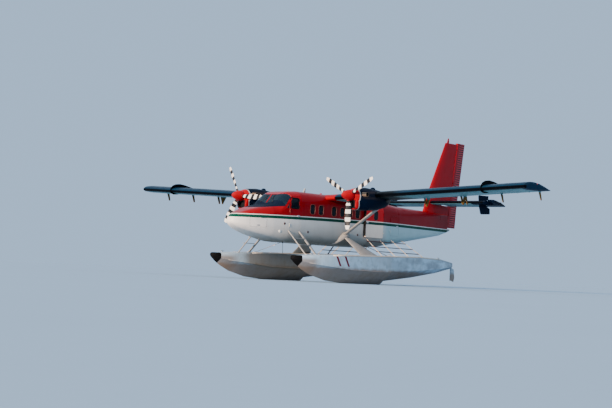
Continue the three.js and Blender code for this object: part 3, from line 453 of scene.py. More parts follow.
def livery(name="livery", white=WHITE, red=RED, darkening=1.0):
    """White below, red above, a green band with a pinstripe, and a dark panel before the windscreen."""
    # The last argument scales the painted shade under the belly, the painted teal reflection aft and the
    # dust streaks
    m = Shader(name, 0.3, gloss=0.08)
    line_s, line_z, rise_aft = (0.2, 4.4, 8.3), (0.88, 0.97), 0.045
    forward, aft = m.spread(m.s, *line_s[:2], *line_z), m.spread(m.s, *line_s[1:], 0, rise_aft)
    height = m.less(m.z, m.plus(forward, aft))
    band, pinstripe = 0.055, 0.086
    base = m.mix(m.above(height, band), white, red)
    base = m.mix(m.within(height, -band, band), base, GREEN)
    base = m.mix(m.within(height, band, pinstripe), base, white)

    # The dark panel, the red post in it, and painted shade on the knuckles of the crew door's hinge
    panel_s, panel_z, panel_slope = 1.13, 1.24, 0.105
    screen_s, screen_sweep = 2.05, 0.268
    post_half, post_s, post_foot = 0.03, (2.075, 2.38), 1.4
    skin, knuckle_s = 0.86, (2.44, 2.54)
    over = m.above(m.z, m.line(m.s, panel_slope, panel_z - panel_slope * panel_s))
    glare = m.both(over, m.below(m.s, m.line(m.far, screen_sweep, screen_s)))
    post = m.both(m.below(m.far, post_half), m.within(m.s, *post_s), m.above(m.z, post_foot))
    # Painted shade darkens the hinge knuckles, which stand out of the skin and catch the light
    base = m.veil(base, m.both(m.above(m.far, skin), m.within(m.s, *knuckle_s)), 0.6, SOOT_AND_SHADE)
    dark = m.both(glare, m.outside(post))
    base = m.mix(dark, base, NAVY)

    # Painted shade under the belly, a painted teal reflection of water on the aft fuselage, and painted
    # shade on the ajar cabin door's front edge, for the dark opening behind it
    belly_z, cheek_s, rear_s = (0.8, 0.02), (0.9, 2.6), (8.1, 8.6)
    proud, opening_s, opening_z = 0.9, 6.97, 1.78
    lower = m.spread(m.z, *belly_z, 0, 0.88 * darkening)
    base = m.mix(m.both(lower, m.spread(m.s, *cheek_s)), base, BELLY_GREY)
    # Painted teal reflection of water on the aft fuselage, below the stripe
    rear_reflection = m.both(m.spread(m.s, *rear_s, 0, 0.75 * darkening), m.below(height, -band))
    base = m.mix(rear_reflection, base, REAR_REFLECTED_TEAL)
    # Painted shade on the front edge of the ajar left cabin door
    outer = m.both(m.above(m.y, proud), m.below(m.s, opening_s), m.below(m.z, opening_z))
    base = m.mix(outer, base, SOOT_AND_SHADE)

    dust_z, grime_z = (0.4, 0.5), (0.2, 0.4)
    streaks = m.patches(1.2, 6, (0.45, 0.75), 0, 0.22 * darkening, (0.35, 1, 3.5))
    base = m.mix(m.both(streaks, m.below(m.z, *dust_z)), base, DUST)
    grime = m.patches(3.5, 7, (0.5, 0.72), 0, 0.3, (0.5, 1, 1.6))
    base = m.mix(m.both(grime, m.below(m.z, *grime_z)), base, GRIME)
    base = m.sheets(m.worn(base, 0.08), m.s, m.z, 0.56, 0.3)
    matt = m.both(dark, 0.4)
    return m.finish(base, m.plus(matt, m.patches(3, 4, SOFT, 0.26, 0.4)))


def red_paint(name, ribbed=False):
    """Red sheet. The rudder's has a paler panel over its beads as a painted sheen, with painted shade in
    dark lines between the beads.
    """
    m = Shader(name, 0.36, gloss=0.12)
    base = m.worn(FIN_RED, 0.14)
    if ribbed:
        gap_z, gap_width, core, panel_s = 1.221, 0.042, 0.006, (0.15, 0.56)
        # Painted shade in dark lines between the beads, and a painted sheen on the paler panel over them
        gap_shade = m.lines(m.less(m.z, gap_z), BEAD_PITCH, gap_width)
        gap_shade = m.both(gap_shade, m.above(m.far, core, 0.01))
        hinge = m.line(m.z, HINGE_SLOPE, HINGE_FOOT[0] - HINGE_FOOT[1] * HINGE_SLOPE)
        panel = m.within(m.less(m.s, hinge), *panel_s, 0.02)
        base = m.veil(base, panel, 0.6, BEAD_SHEEN_RED)
        base = m.mix(m.both(gap_shade, panel), base, BEAD_GAP_SHADE)
    base = m.sheets(base, m.zed, m.s, 0.62)
    return m.finish(base, m.patches(4, 4, SOFT, 0.3, 0.46))


def wing_paint():
    """Dark top and leading edge, pale underside, red root, brown brackets, black fences and a dark band
    behind each engine. The top's blue is a painted sky sheen; the underside's teal is a painted reflection
    of water.
    """
    m = Shader("wing_paint", 0.42, gloss=0.02)
    rise = m.less(m.z, m.line(m.far, DIHEDRAL, WING_ROOT_Z))
    behind = m.less(m.s, WING_LE)
    edge_slope, edge_rise, tip, root = -0.004, -0.006, 9.72, 1.25
    top = m.above(rise, m.line(behind, edge_slope, edge_rise), 0.006)
    # Pale underside with a painted teal reflection of water, dark top with a painted blue sky sheen
    base = m.mix(top, REFLECTED_TEAL_GREY, WING_SHEEN_BLUE)
    base = m.mix(m.above(m.far, tip), base, WING_SHEEN_BLUE)
    streaks = m.patches(1.5, 6, (0.45, 0.75), 0, 0.25, (0.4, 3, 1))
    base = m.mix(streaks, m.worn(base, 0.12), WING_STREAK)

    # A dark band and heat stain behind each engine, with a ragged outer end
    dark_from_y, dark_end, heat_y, heat_rise = 3.1, (4.25, 4.75), (4.3, 4.75), 0.02
    ragged = m.both(m.noise(2.6, 5), 0.5)
    reach = m.plus(m.far, ragged)
    engine_patch = m.both(m.above(m.far, dark_from_y, 0.1), m.outside(m.spread(reach, *dark_end)))
    base = m.veil(base, engine_patch, 0.97, BEHIND_ENGINE_DARK)
    heat = m.both(m.within(reach, *heat_y, 0.15), m.below(rise, heat_rise, 0.05))
    base = m.veil(base, heat, 0.15, STAIN)

    boot_chord, boot_rise, spar_pitch = 0.12, 0.045, 0.66
    bracket_rise, bracket_from = -0.118, 1.2
    fence_y, fence_chord = (8.066, 8.084), 1.36
    # The black boot covers only the bottom of the leading edge, so the top's painted blue sky sheen shows
    # above it
    boot = m.both(m.below(behind, boot_chord), m.below(rise, boot_rise, 0.01))
    base = m.mix(boot, base, BOOT)
    base = m.mix(m.below(m.far, root), base, RED)
    spar = m.lines(m.less(behind, boot_chord), spar_pitch, SEAM_WIDTH)
    base = m.veil(base, spar, 0.4, SEAM)
    base = m.mix(m.both(m.below(rise, bracket_rise), m.above(behind, bracket_from)), base, BRACKET)
    fence = m.both(m.within(m.far, *fence_y, 0.002), m.below(behind, fence_chord))
    base = m.mix(fence, base, BOOT)
    base = m.sheets(base, m.y, m.s, 0.62)
    return m.finish(base, m.patches(3, 4, SOFT, 0.3, 0.44))


def tail_paint():
    """Dark, with a pale underside that follows the hanging elevators, tinted teal as a painted reflection of
    water.
    """
    m = Shader("tail_paint", 0.42, gloss=0.02)
    hinge_s, hang_slope, tail_z, edge_rise = 13.4, 0.2126, 2.225, -0.02
    outer, boot_s = 2.2, 12.56
    hang = m.both(m.math("MAXIMUM", m.less(m.s, hinge_s), 0), hang_slope)
    rise = m.plus(m.less(m.z, tail_z), hang)
    # The pale underside's teal tint is a painted reflection of water
    base = m.mix(m.above(rise, edge_rise), REFLECTED_TEAL_GREY, NAVY)
    base = m.mix(m.above(m.far, outer), base, NAVY)
    base = m.mix(m.below(m.s, boot_s), base, BOOT)
    base = m.sheets(m.worn(base, 0.12), m.y, m.s, 0.45)
    return m.finish(base)


def nacelle_paint():
    """Navy with a white line where it meets the cowling, and heat stain at its tail."""
    m = Shader("nacelle_paint", 0.4, gloss=0.015)
    ragged, heat_s, trail_z, trail_s, cowl_s = 0.35, (5.65, 6.1), (1.78, 2.06), (4.02, 5.0), 3.845
    reach = m.plus(m.s, m.both(m.noise(5, 4), ragged))
    base = m.mix(m.spread(reach, *heat_s, 0, 0.8), m.worn(NAVY, 0.15), STAIN)
    trail = m.both(m.within(m.z, *trail_z, 0.1), m.within(m.s, *trail_s, 0.25))
    engine_patch = m.both(trail, m.patches(4, 5, (0.35, 0.65), stretch=(0.3, 1, 1.5)))
    base = m.veil(base, engine_patch, 0.25, STAIN)
    base = m.mix(m.below(m.s, cowl_s), base, COWL_LINE)
    base = m.sheets(base, m.s, m.z, 0.48)
    return m.finish(base)


def cowl_paint():
    """Red, with painted shade on the front face round the intake under the spinner, so the opening looks
    larger.
    """
    m = Shader("cowl_paint", 0.3, gloss=0.07)
    half, mouth_z, mouth_s = 0.205, (1.37, 1.685), 3.8
    across = m.less(m.far, ENGINE_Y)
    # Painted shade of the intake's dark inside, spread over the front face around it
    mouth_shade = m.both(m.within(across, -half, half, 0.01), m.within(m.z, *mouth_z, 0.01), m.below(m.s, mouth_s))
    base = m.mix(mouth_shade, m.worn(BRIGHT_RED, 0.1), SOOT_AND_SHADE)
    base = m.sheets(base, m.zed, m.s, 0.34)
    return m.finish(base)


def propeller_paint():
    """Red spinner, and bands of white and near black along each blade."""
    m = Shader("propeller_finish", 0.36, gloss=0.07)
    band_width, banded_from, spinner = 0.075, 0.3, 0.2165
    across = m.less(m.far, ENGINE_Y)
    up = m.less(m.z, THRUST_Z)
    radius = m.math("SQRT", m.plus(m.both(across, across), m.both(up, up)))
    from_tip = m.less(PROP_RADIUS, radius)
    wave = m.math("PINGPONG", m.plus(from_tip, band_width), 2 * band_width)
    base = m.mix(m.above(wave, band_width, 0.006), BLADE_BLACK, BLADE_WHITE)
    base = m.mix(m.above(radius, banded_from), BLADE_BLACK, base)
    base = m.mix(m.above(radius, spinner, 0.002), BRIGHT_RED, base)
    m.bump(m.noise(60, 3), 0.08, 0.001)
    return m.finish(m.worn(base, 0.12, 6))


def float_paint():
    """Painted sheet with two slanted stripes outboard, stained below the chine."""
    m = Shader("float_paint", 0.42, 0.05, gloss=0.1)
    base = m.mix(m.patches(5, 7, (0.52, 0.66), 0, 0.55), FLOAT_BLUE, FLOAT_CHIP)
    base = m.mix(m.patches(2.2, 6, (0.42, 0.75), 0, 0.35, (1, 1, 0.3)), base, FLOAT_STREAK)
    aft_s, stain_z, stain_ragged, inner_y, inner_z = (5.5, 9.0), -0.98, 0.2, 1.62, -0.42
    aft = m.spread(m.s, *aft_s, 0.1, 0.6)
    base = m.mix(m.both(aft, m.patches(1.6, 6, (0.45, 0.6), stretch=(0.6, 1, 1.8))), base, FLOAT_AFT)
    darkening = m.below(m.z, m.line(m.noise(3, 5), stain_ragged, stain_z), 0.12)
    base = m.veil(base, darkening, 0.8, STAIN)
    # Painted shade on the float's side that faces the hull, below the deck
    inboard_shade = m.both(m.below(m.far, inner_y, 0.05), m.below(m.z, inner_z))
    base = m.veil(base, inboard_shade, 0.8, FLOAT_INBOARD_SHADE)
    bow_s, bow_z = (2.3, 0.4), (-0.6, 0.12)
    base = m.veil(base, m.both(m.below(m.s, *bow_s), m.below(m.z, *bow_z)), 0.75, FLOAT_BOW)

    stripe_starts, stripe_width, stripe_slope, stripe_datum = (3.185, 3.665), 0.11, 0.6, 0.4
    stripe_z, outer_y = (-0.83, -0.36), 2.6
    swept = m.line(m.plus(m.z, stripe_datum), stripe_slope, m.s)
    outboard = m.both(m.above(m.far, outer_y), m.within(m.z, *stripe_z))
    for start in stripe_starts:
        base = m.mix(m.both(outboard, m.within(swept, start, start + stripe_width)), base, STRIPE_RED)
    base = m.sheets(base, m.s, m.z, 0.45, 0.45, 0.6)
    return m.finish(base, m.patches(5, 5, SOFT, 0.34, 0.54))


def rack_paint():
    """Dark bars on pale rungs."""
    m = Shader("rack_finish", 0.5)
    bar_places, half_wide, half_high = ((0.96, 0.27), (1.22, 0.05), (1.44, -0.14)), 0.047, 0.018
    bars = m.either(*(
        m.both(m.within(m.far, y - half_wide, y + half_wide), m.within(m.z, z - half_high, z + half_high))
        for y, z in bar_places))
    base = m.mix(bars, m.worn(RUNG_BUFF, 0.25, 8), RACK_BAR)
    m.bump(m.noise(90, 3), 0.2, 0.001)
    return m.finish(base, m.patches(8, 4, SOFT, 0.4, 0.6))


def grained(name, colour, roughness, metallic=0.0, scale=8.0, strength=0.25, wear=0.25, gloss=0.2):
    """A plain worn finish with a fine uneven surface."""
    m = Shader(name, roughness, metallic, gloss=gloss)
    m.bump(m.noise(scale * 12, 4), strength, 0.0012)
    shine = m.patches(scale, 4, SOFT, roughness - 0.08, roughness + 0.12)
    return m.finish(m.worn(colour, wear, scale), shine)


def wing_strut_paint():
    """Pale, with its head beside the engine painted dark as shade."""
    m = Shader("wing_strut_finish", 0.42, 0.1)
    m.bump(m.noise(60, 4), 0.12, 0.0012)
    head_y = 3.12
    # Painted shade: the strut's head beside the nacelle is dark
    base = m.mix(m.above(m.far, head_y, 0.1), m.worn(STRUT_GREY, 0.25, 5), SOOT_AND_SHADE)
    return m.finish(base, m.patches(5, 4, SOFT, 0.34, 0.54))


def fabric():
    m = Shader("seat_cloth", 0.92)
    pitch, thread = 0.006, 0.004
    wave = m.both(m.lines(m.plus(m.x, m.z), pitch, thread), m.lines(m.y, pitch, thread))
    base = m.mix(wave, m.worn(CLOTH_BLUE, 0.3, 5), CLOTH_THREAD)
    fixed(m.bsdf, Sheen_Weight=0.4)
    m.bump(wave, 0.5, 0.001)
    return m.finish(base)


def glass(name, colour, alpha, roughness=0.04):
    m = Shader(name, roughness, gloss=0.09)
    fixed(m.bsdf, Alpha=alpha, IOR=1.5)
    return m.finish(m.worn(colour, 0.1, 3))


def lamp(name, colour, strength):
    m = Shader(name, 0.1, coat=0.5)
    fixed(m.bsdf, Emission_Strength=strength, Emission_Color=(*colour, 1))
    return m.finish(m.worn(colour, 0.1, 20))


LIVERY = livery()
# A lit copy of the livery for the ajar left cabin door: its white and red are brighter and warmer as painted
# light, with little of the painted shade, painted reflection and dust
LIT_DOOR_LIVERY = livery("door_livery", DOOR_LIT_WHITE, DOOR_LIT_RED, darkening=0.15)
RED_PAINT = red_paint("red_paint")
RUDDER_PAINT = red_paint("rudder_paint", ribbed=True)
WING = wing_paint()
TAIL = tail_paint()
NACELLE = nacelle_paint()
COWL = cowl_paint()
PROPELLER = propeller_paint()
FLOAT = float_paint()
RACK = rack_paint()
STRUT = grained("strut_finish", STRUT_GREY, 0.42, 0.1, 5, 0.12)
WING_STRUT = wing_strut_paint()
DARK_RED = grained("rear_strut_finish", (0.06, 0.018, 0.018), 0.5, 0.0, 10, 0.3, 0.3)
RUBBER = grained("rubber_finish", (0.0035, 0.0038, 0.0042), 0.75, 0.0, 12, 0.5, 0.3, gloss=0.03)
STEEL = grained("heated_steel", (0.30, 0.19, 0.12), 0.42, 0.7, 9, 0.2, 0.4)
BARE = grained("bare_metal", (0.5, 0.5, 0.51), 0.35, 0.8, 9, 0.15)
PLASTIC = grained("black_plastic", (0.016, 0.017, 0.019), 0.6, 0.0, 9, 0.3, 0.2)
DIAL = grained("dial_finish", (0.35, 0.36, 0.34), 0.3, 0.0, 20, 0.05, 0.1)
AERIAL = grained("aerial_finish", (0.5, 0.47, 0.42), 0.4, 0.0, 8, 0.1, 0.2)
NON_SLIP = grained("non_slip_finish", (0.10, 0.10, 0.11), 0.85, 0.0, 14, 0.7, 0.35)
CLOTH = fabric()
PALE_FRAME = grained("window_frame_finish", (0.12, 0.03, 0.025), 0.4, 0.0, 9, 0.1, 0.15)
CABIN_GLASS = glass("cabin_glass", (0.004, 0.007, 0.011), alpha=0.93)
SCREEN_GLASS = glass("screen_glass", (0.006, 0.016, 0.028), alpha=0.84)
RED_LAMP = lamp("port_lamp", (0.8, 0.05, 0.01), strength=1.1)
GREEN_LAMP = lamp("starboard_lamp", (0.02, 0.5, 0.2), strength=0.6)
BEACON = lamp("beacon_lens", (0.28, 0.01, 0.01), strength=0.05)
NOSE_LAMP = lamp("nose_lamp_lens", (0.7, 0.68, 0.62), strength=0.05)

# CAD nodes of each finish. An underscore at the end stands for left and right.
FINISHES = (
    (LIVERY, "nose_section nose_baggage_door cockpit_shell crew_door_ cabin_roof cabin_side_ cabin_floor"),
    (LIVERY, "cabin_door_right rear_baggage_door tail_cone"), (LIT_DOOR_LIVERY, "cabin_door_left"),
    (PLASTIC, "instrument_panel control_column"), (SCREEN_GLASS, "windscreen_"),
    (CLOTH, "crew_seat_ cabin_seats_"), (WING, "wing_ wing_centre_fairing flap_ aileron_"),
    (NACELLE, "nacelle_"), (COWL, "engine_cowling_"), (STEEL, "engine_"), (PROPELLER, "propeller_"),
    (RED_PAINT, "fin"), (RUDDER_PAINT, "rudder"), (TAIL, "tailplane elevator_"),
    (FLOAT, "float_ water_rudder_"), (RUBBER, "float_bumper_"), (DARK_RED, "float_strut_rear_"),
    (STRUT, "float_struts_front_ float_main_leg_"), (WING_STRUT, "wing_strut_"), (RACK, "boarding_rack_"),
)
FINISH = {}
for material, names in FINISHES:
    for name in names.split():
        for tag, _ in SIDES:
            FINISH[name + tag if name.endswith("_") else name] = material
SMOOTH_ANGLE = math.radians(34)
CORNER_WELD = 0.00002


def geometry_group(name):
    """A geometry node group with one geometry in and one out."""
    group = bpy.data.node_groups.new(name, "GeometryNodeTree")
    group.interface.new_socket("Geometry", in_out="INPUT", socket_type="NodeSocketGeometry")
    group.interface.new_socket("Geometry", in_out="OUTPUT", socket_type="NodeSocketGeometry")
    return group, group.nodes.new, group.links.new


def smoothing():
    """Welds the CAD's split corners and shades it smooth up to an angle."""
    group, add, link = geometry_group("smooth_by_angle")
    given, made = add("NodeGroupInput"), add("NodeGroupOutput")
    weld = fixed(add("GeometryNodeMergeByDistance"), Distance=CORNER_WELD)
    bare = fixed(add("GeometryNodeRemoveAttribute"), Name="custom_normal")
    faces, soft, sharp = (add("GeometryNodeSetShadeSmooth") for _ in range(3))
    for node, domain, on in ((faces, "FACE", True), (soft, "EDGE", True), (sharp, "EDGE", False)):
        fixed(node, Shade_Smooth=on).domain = domain
    angle = add("GeometryNodeInputMeshEdgeAngle")
    wide = add("FunctionNodeCompare")
    wide.operation = "GREATER_THAN"
    wide.inputs[1].default_value = SMOOTH_ANGLE
    link(angle.outputs["Unsigned Angle"], wide.inputs[0])
    link(wide.outputs[0], sharp.inputs["Selection"])
    chain = [given, weld, bare, faces, soft, sharp, made]
    for a, b in zip(chain, chain[1:]):
        link(a.outputs[0], b.inputs[0])
    return group


# The nose is redrawn ahead of the cockpit. Pairs are where a change starts and where it is full.
TIP_DRAWN = 0.1
TIP_NARROWED = 0.06
TIP_S = (1.2, 0.1)
UNDERSIDE_RAISED = 0.115
UNDERSIDE_S = (3.0, 1.2)
UNDERSIDE_Z = (0.74, 0.3)


def nose_drawing():
    """Draws the nose tip in and the underside of the nose up."""
    group, add, link = geometry_group("nose_drawing")
    given, made, move = add("NodeGroupInput"), add("NodeGroupOutput"), add("GeometryNodeSetPosition")
    split = add("ShaderNodeSeparateXYZ")
    link(add("GeometryNodeInputPosition").outputs[0], split.inputs[0])

    def share(value, low, high, size):
        node = add("ShaderNodeMapRange")
        node.interpolation_type = "SMOOTHSTEP"
        link(value, node.inputs[0])
        for socket, number in zip(list(node.inputs)[1:5], (low, high, 0.0, size)):
            socket.default_value = number
        return node.outputs[0]

    def times(a, b):
        node = add("ShaderNodeMath")
        node.operation = "MULTIPLY"
        link(a, node.inputs[0])
        link(b, node.inputs[1])
        return node.outputs[0]
    x, y, zed = split.outputs
    tip = [NOSE_X - s for s in TIP_S]
    under = share(zed, *(KEEL_DEPTH + z for z in UNDERSIDE_Z), 1.0)
    raised = share(x, *(NOSE_X - s for s in UNDERSIDE_S), UNDERSIDE_RAISED)
    offset = add("ShaderNodeCombineXYZ")
    link(share(x, *tip, -TIP_DRAWN), offset.inputs[0])
    link(times(y, share(x, *tip, -TIP_NARROWED)), offset.inputs[1])
    link(times(raised, under), offset.inputs[2])
    link(given.outputs[0], move.inputs["Geometry"])
    link(offset.outputs[0], move.inputs["Offset"])
    link(move.outputs[0], made.inputs[0])
    return group


NOSE_DRAWING = nose_drawing()


def drawn(ob):
    """Gives a piece the same nose shape as the skin it sits on."""
    ob.modifiers.new("nose", "NODES").node_group = NOSE_DRAWING


for name in ("nose_section", "nose_baggage_door", "cockpit_shell", "cabin_floor"):
    drawn(frame["nodes"][name])
SMOOTHING = smoothing()
for name, node in frame["nodes"].items():
    for slot in node.material_slots:
        slot.material = FINISH[name]
    shade = node.modifiers.new("shade", "NODES")
    shade.node_group = SMOOTHING
    even = node.modifiers.new("even", "WEIGHTED_NORMAL")
    even.keep_sharp = True

# Windows: outlines, the frames' width, height and depth, and the panes behind the skin
WINDOW_S = [3.78, 4.28, 5.07, 5.59, 6.07, 6.55]
DOOR_WINDOW_S = 7.68
WINDOW_HALF = (0.14, 0.18)
WINDOW_Z = 1.33
WINDOW_CORNER = 0.09
CREW_WINDOW = rounded(2.55, 2.98, 1.3, 1.7, 0.06)
QUARTER_WINDOW = [(2.33, 1.3), (2.46, 1.3), (2.46, 1.47)]
MOULDING = (0.02, 0.005, 0.03)
CREW_MOULDING = (0.022, 0.005, 0.03)
QUARTER_MOULDING = (0.012, 0.004, 0.02)
PANE_OUT, PANE_THICK = -0.012, 0.006
AJAR = math.radians(5)
LEFT_DOOR_HINGE = at(8.257, 0.873, 0)


def window_outline(s):
    low, high = WINDOW_Z - WINDOW_HALF[1], WINDOW_Z + WINDOW_HALF[1]
    return rounded(s - WINDOW_HALF[0], s + WINDOW_HALF[0], low, high, WINDOW_CORNER)


def swung(ob):
    """Turns a piece with the left cabin door, which stands ajar."""
    pivot = Matrix.Translation(LEFT_DOOR_HINGE)
    ob.data.transform(pivot @ Matrix.Rotation(AJAR, 4, "Z") @ pivot.inverted())


def glazed(outlines, side, moulding):
    """The frames and the panes of some windows, as two meshes."""
    frames, panes = bmesh.new(), bmesh.new()
    for outline in outlines:
        window_ring(frames, outline, side, *moulding)
        skin_pane(panes, outline, side, PANE_OUT, PANE_THICK)
    return frames, panes


for tag, side in SIDES:
    frames, panes = glazed([window_outline(s) for s in WINDOW_S], side, MOULDING)
    piece(f"window_frames_{tag}", frames, PALE_FRAME)
    piece(f"window_panes_{tag}", panes, CABIN_GLASS)
    frames, panes = glazed([window_outline(DOOR_WINDOW_S)], side, MOULDING)
    body = f"{tag}_cabin_door"
    made = [piece(f"door_window_frame_{tag}", frames, PALE_FRAME, body),
            piece(f"door_window_pane_{tag}", panes, CABIN_GLASS, body)]
    if tag == "left":
        for ob in made:
            swung(ob)
    frames, panes = glazed([CREW_WINDOW], side, CREW_MOULDING)
    body = f"{tag}_crew_door"
    piece(f"crew_window_frame_{tag}", frames, RUBBER, body)
    piece(f"crew_window_pane_{tag}", panes, CABIN_GLASS, body)
    frames, panes = glazed([QUARTER_WINDOW], side, QUARTER_MOULDING)
    piece(f"quarter_window_{tag}", panes, SCREEN_GLASS)
    piece(f"quarter_window_frame_{tag}", frames, PALE_FRAME)

# Windscreen wipers: an arm and a blade on each pane. Places are s and distance from the middle.
WIPER_PIVOT, WIPER_ARM_END = (2.075, 0.3), (2.24, 0.17)
WIPER_BLADE = ((2.14, 0.13), (2.33, 0.2))
WIPER_LEAN = Vector((0.5, 0, 1))
WIPER_BOSS = [(0, 0.02), (0.02, 0.018), (0.03, 0.01)]


def on_glass(place, side, off):
    s, y = place
    return at(s, side * y, hull_z(s, y) + off)


for tag, side in SIDES:
    wiper = bmesh.new()
    turned(wiper, on_glass(WIPER_PIVOT, side, 0), WIPER_LEAN, WIPER_BOSS, 12)
    rod(wiper, on_glass(WIPER_PIVOT, side, 0.02), on_glass(WIPER_ARM_END, side, 0.022), 0.006)
    blade = [on_glass(end, side, 0.014) for end in WIPER_BLADE]
    rod(wiper, *blade, 0.008)
    piece(f"windscreen_wiper_{tag}", wiper, PLASTIC)

# Roof aerials. Columns: s, height, share of the chords. Blade columns: share of the height, chord
ROOF_Z = 1.985
AERIALS = ((4.2, 0.21, 1.0), (3.22, 0.05, 0.6), (6.16, 0.09, 0.6))
AERIAL_BLADE = [(0, 0.16), (0.45, 0.13), (0.85, 0.09), (1, 0.05)]
AERIAL_SWEEP, AERIAL_HALF = 0.06, 0.012
aerials = bmesh.new()
for s0, height, long in AERIALS:
    loops = []
    for rise, chord in AERIAL_BLADE:
        angles = [math.tau * i / 12 for i in range(12)]
        loops.append([at(s0 + rise * AERIAL_SWEEP + chord * long * math.cos(a) / 2,
                         AERIAL_HALF * math.sin(a), ROOF_Z + rise * height) for a in angles])
    rings(aerials, loops)
piece("roof_aerials", aerials, AERIAL)

# Roof beacon, belly aerial and bracing wire. Profiles are (distance along, radius).
BEACON_DOME = [(0, 0.07), (0.02, 0.07), (0.025, 0.048), (0.06, 0.046), (0.085, 0.03), (0.092, 0.004)]
WHIP_FOOT, WHIP_TIP = at(3.09, 0, 0.005), at(3.12, 0, -0.42)
WHIP_BASE = [(0, 0.03), (0.02, 0.026), (0.03, 0.012)]
WIRE_S, WIRE_Y, WIRE_HEAD = 3.4, -1.7, at(3.67, -0.56, 0.03)
WIRE_BASE = [(0, 0.03), (0.02, 0.024), (0.03, 0.012)]
beacon = bmesh.new()
turned(beacon, at(5.23, 0, ROOF_Z), UP, BEACON_DOME)
piece("roof_beacon", beacon, BEACON)
whip = bmesh.new()
rod(whip, WHIP_FOOT, WHIP_TIP, 0.009)
turned(whip, WHIP_FOOT, -UP, WHIP_BASE)
piece("belly_whip_aerial", whip, PLASTIC)
wire = bmesh.new()
rod(wire, at(WIRE_S, WIRE_Y, deck_z(WIRE_S) + 0.01), WIRE_HEAD, 0.007)
turned(wire, at(WIRE_S, WIRE_Y, deck_z(WIRE_S) - 0.005), UP, WIRE_BASE, 12)
piece("bracing_wire", wire, STEEL)

# Drain covers and nose lamps, on the skin
DRAINS = ((2.25, 0.695), (3.55, 0.44), (6.59, 0.486))
DRAIN_COVER = [(0, 0.048), (0.01, 0.046), (0.013, 0.03), (0.009, 0.012)]
LAMP_S, LAMP_Z = 2.02, 0.33
LAMP_LENS = [(0, 0.06), (0.024, 0.058), (0.032, 0.045), (0.036, 0.01)]
drains = bmesh.new()
for _, side in SIDES:
    for s, z in DRAINS:
        turned(drains, at(s, side * (hull_y(s, z) - SUNK), z), Vector((0, side, 0)), DRAIN_COVER, 16)
piece("skin_drain_covers", drains, DARK_RED)
for tag, side in SIDES:
    lens = bmesh.new()
    seat = at(LAMP_S, side * (hull_y(LAMP_S, LAMP_Z) - 0.02), LAMP_Z)
    turned(lens, seat, Vector((0.1, side, -0.1)), LAMP_LENS)
    drawn(piece(f"nose_lamp_{tag}", lens, NOSE_LAMP))

# Doors: a lever on two posts in a shallow plate on each. Columns: body, s, z, side
LEVERS = [
    ("left_crew_door", 2.97, 1.02, 1), ("right_crew_door", 2.97, 1.02, -1),
    ("left_cabin_door", 7.07, 1.02, 1), ("right_cabin_door", 7.95, 1.02, -1),
    ("rear_baggage_door", 9.3, 0.97, 1), ("nose_door", 1.0, 0.5, 1),
]
LEVER_HALF, LEVER_OUT, POSTS = 0.05, 0.012, (-0.04, 0.04)
for body, s, z, side in LEVERS:
    lever = bmesh.new()
    plate = rounded(s - 0.07, s + 0.07, z - 0.035, z + 0.035, 0.02, 4)
    skin_pane(lever, plate, side, 0.003, 0.006)
    skin, grip = side * hull_y(s, z), side * (hull_y(s, z) + LEVER_OUT)
    rod(lever, at(s - LEVER_HALF, grip, z), at(s + LEVER_HALF, grip, z), 0.009)
    for post in POSTS:
        rod(lever, at(s + post, skin, z), at(s + post, grip, z), 0.006, 8)
    handle = piece(f"{body}_handle", lever, BARE, body)
    if body == "left_cabin_door":
        swung(handle)
    if body == "nose_door":
        drawn(handle)

# Nacelles: a blister on top, and exhaust rims with dark throats
BLISTER = [(0, 0.1), (0.02, 0.1), (0.05, 0.09), (0.08, 0.06), (0.092, 0.02), (0.094, 0.002)]
EXHAUST_Y = 0.45
EXHAUST_RIM = [(-0.012, 0.086), (0.0, 0.09), (0.006, 0.086), (0.002, 0.078), (-0.012, 0.086)]
THROAT = [(0, 0.08), (0.0035, 0.08), (0.003, 0.06), (0.003, 0.01)]
for tag, side in SIDES:
    blister = bmesh.new()
    turned(blister, at(4.94, side * ENGINE_Y, 2.17), UP, BLISTER)
    piece(f"nacelle_blister_{tag}", blister, NACELLE)
    rims, throats = bmesh.new(), bmesh.new()
    for way in (1, -1):
        centre = at(4.06, side * ENGINE_Y + way * EXHAUST_Y, 1.925)
        outward = Vector((0, way, 0))
        loops = [circle(centre + outward * d, outward, r, 28) for d, r in EXHAUST_RIM]
        rings(rims, loops, capped=False)
        turned(throats, centre - outward * SUNK / 2, outward, THROAT, 28)
    bmesh.ops.remove_doubles(rims, verts=rims.verts, dist=WELD)
    piece(f"exhaust_rims_{tag}", rims, STEEL)
    piece(f"exhaust_throats_{tag}", throats, RUBBER)

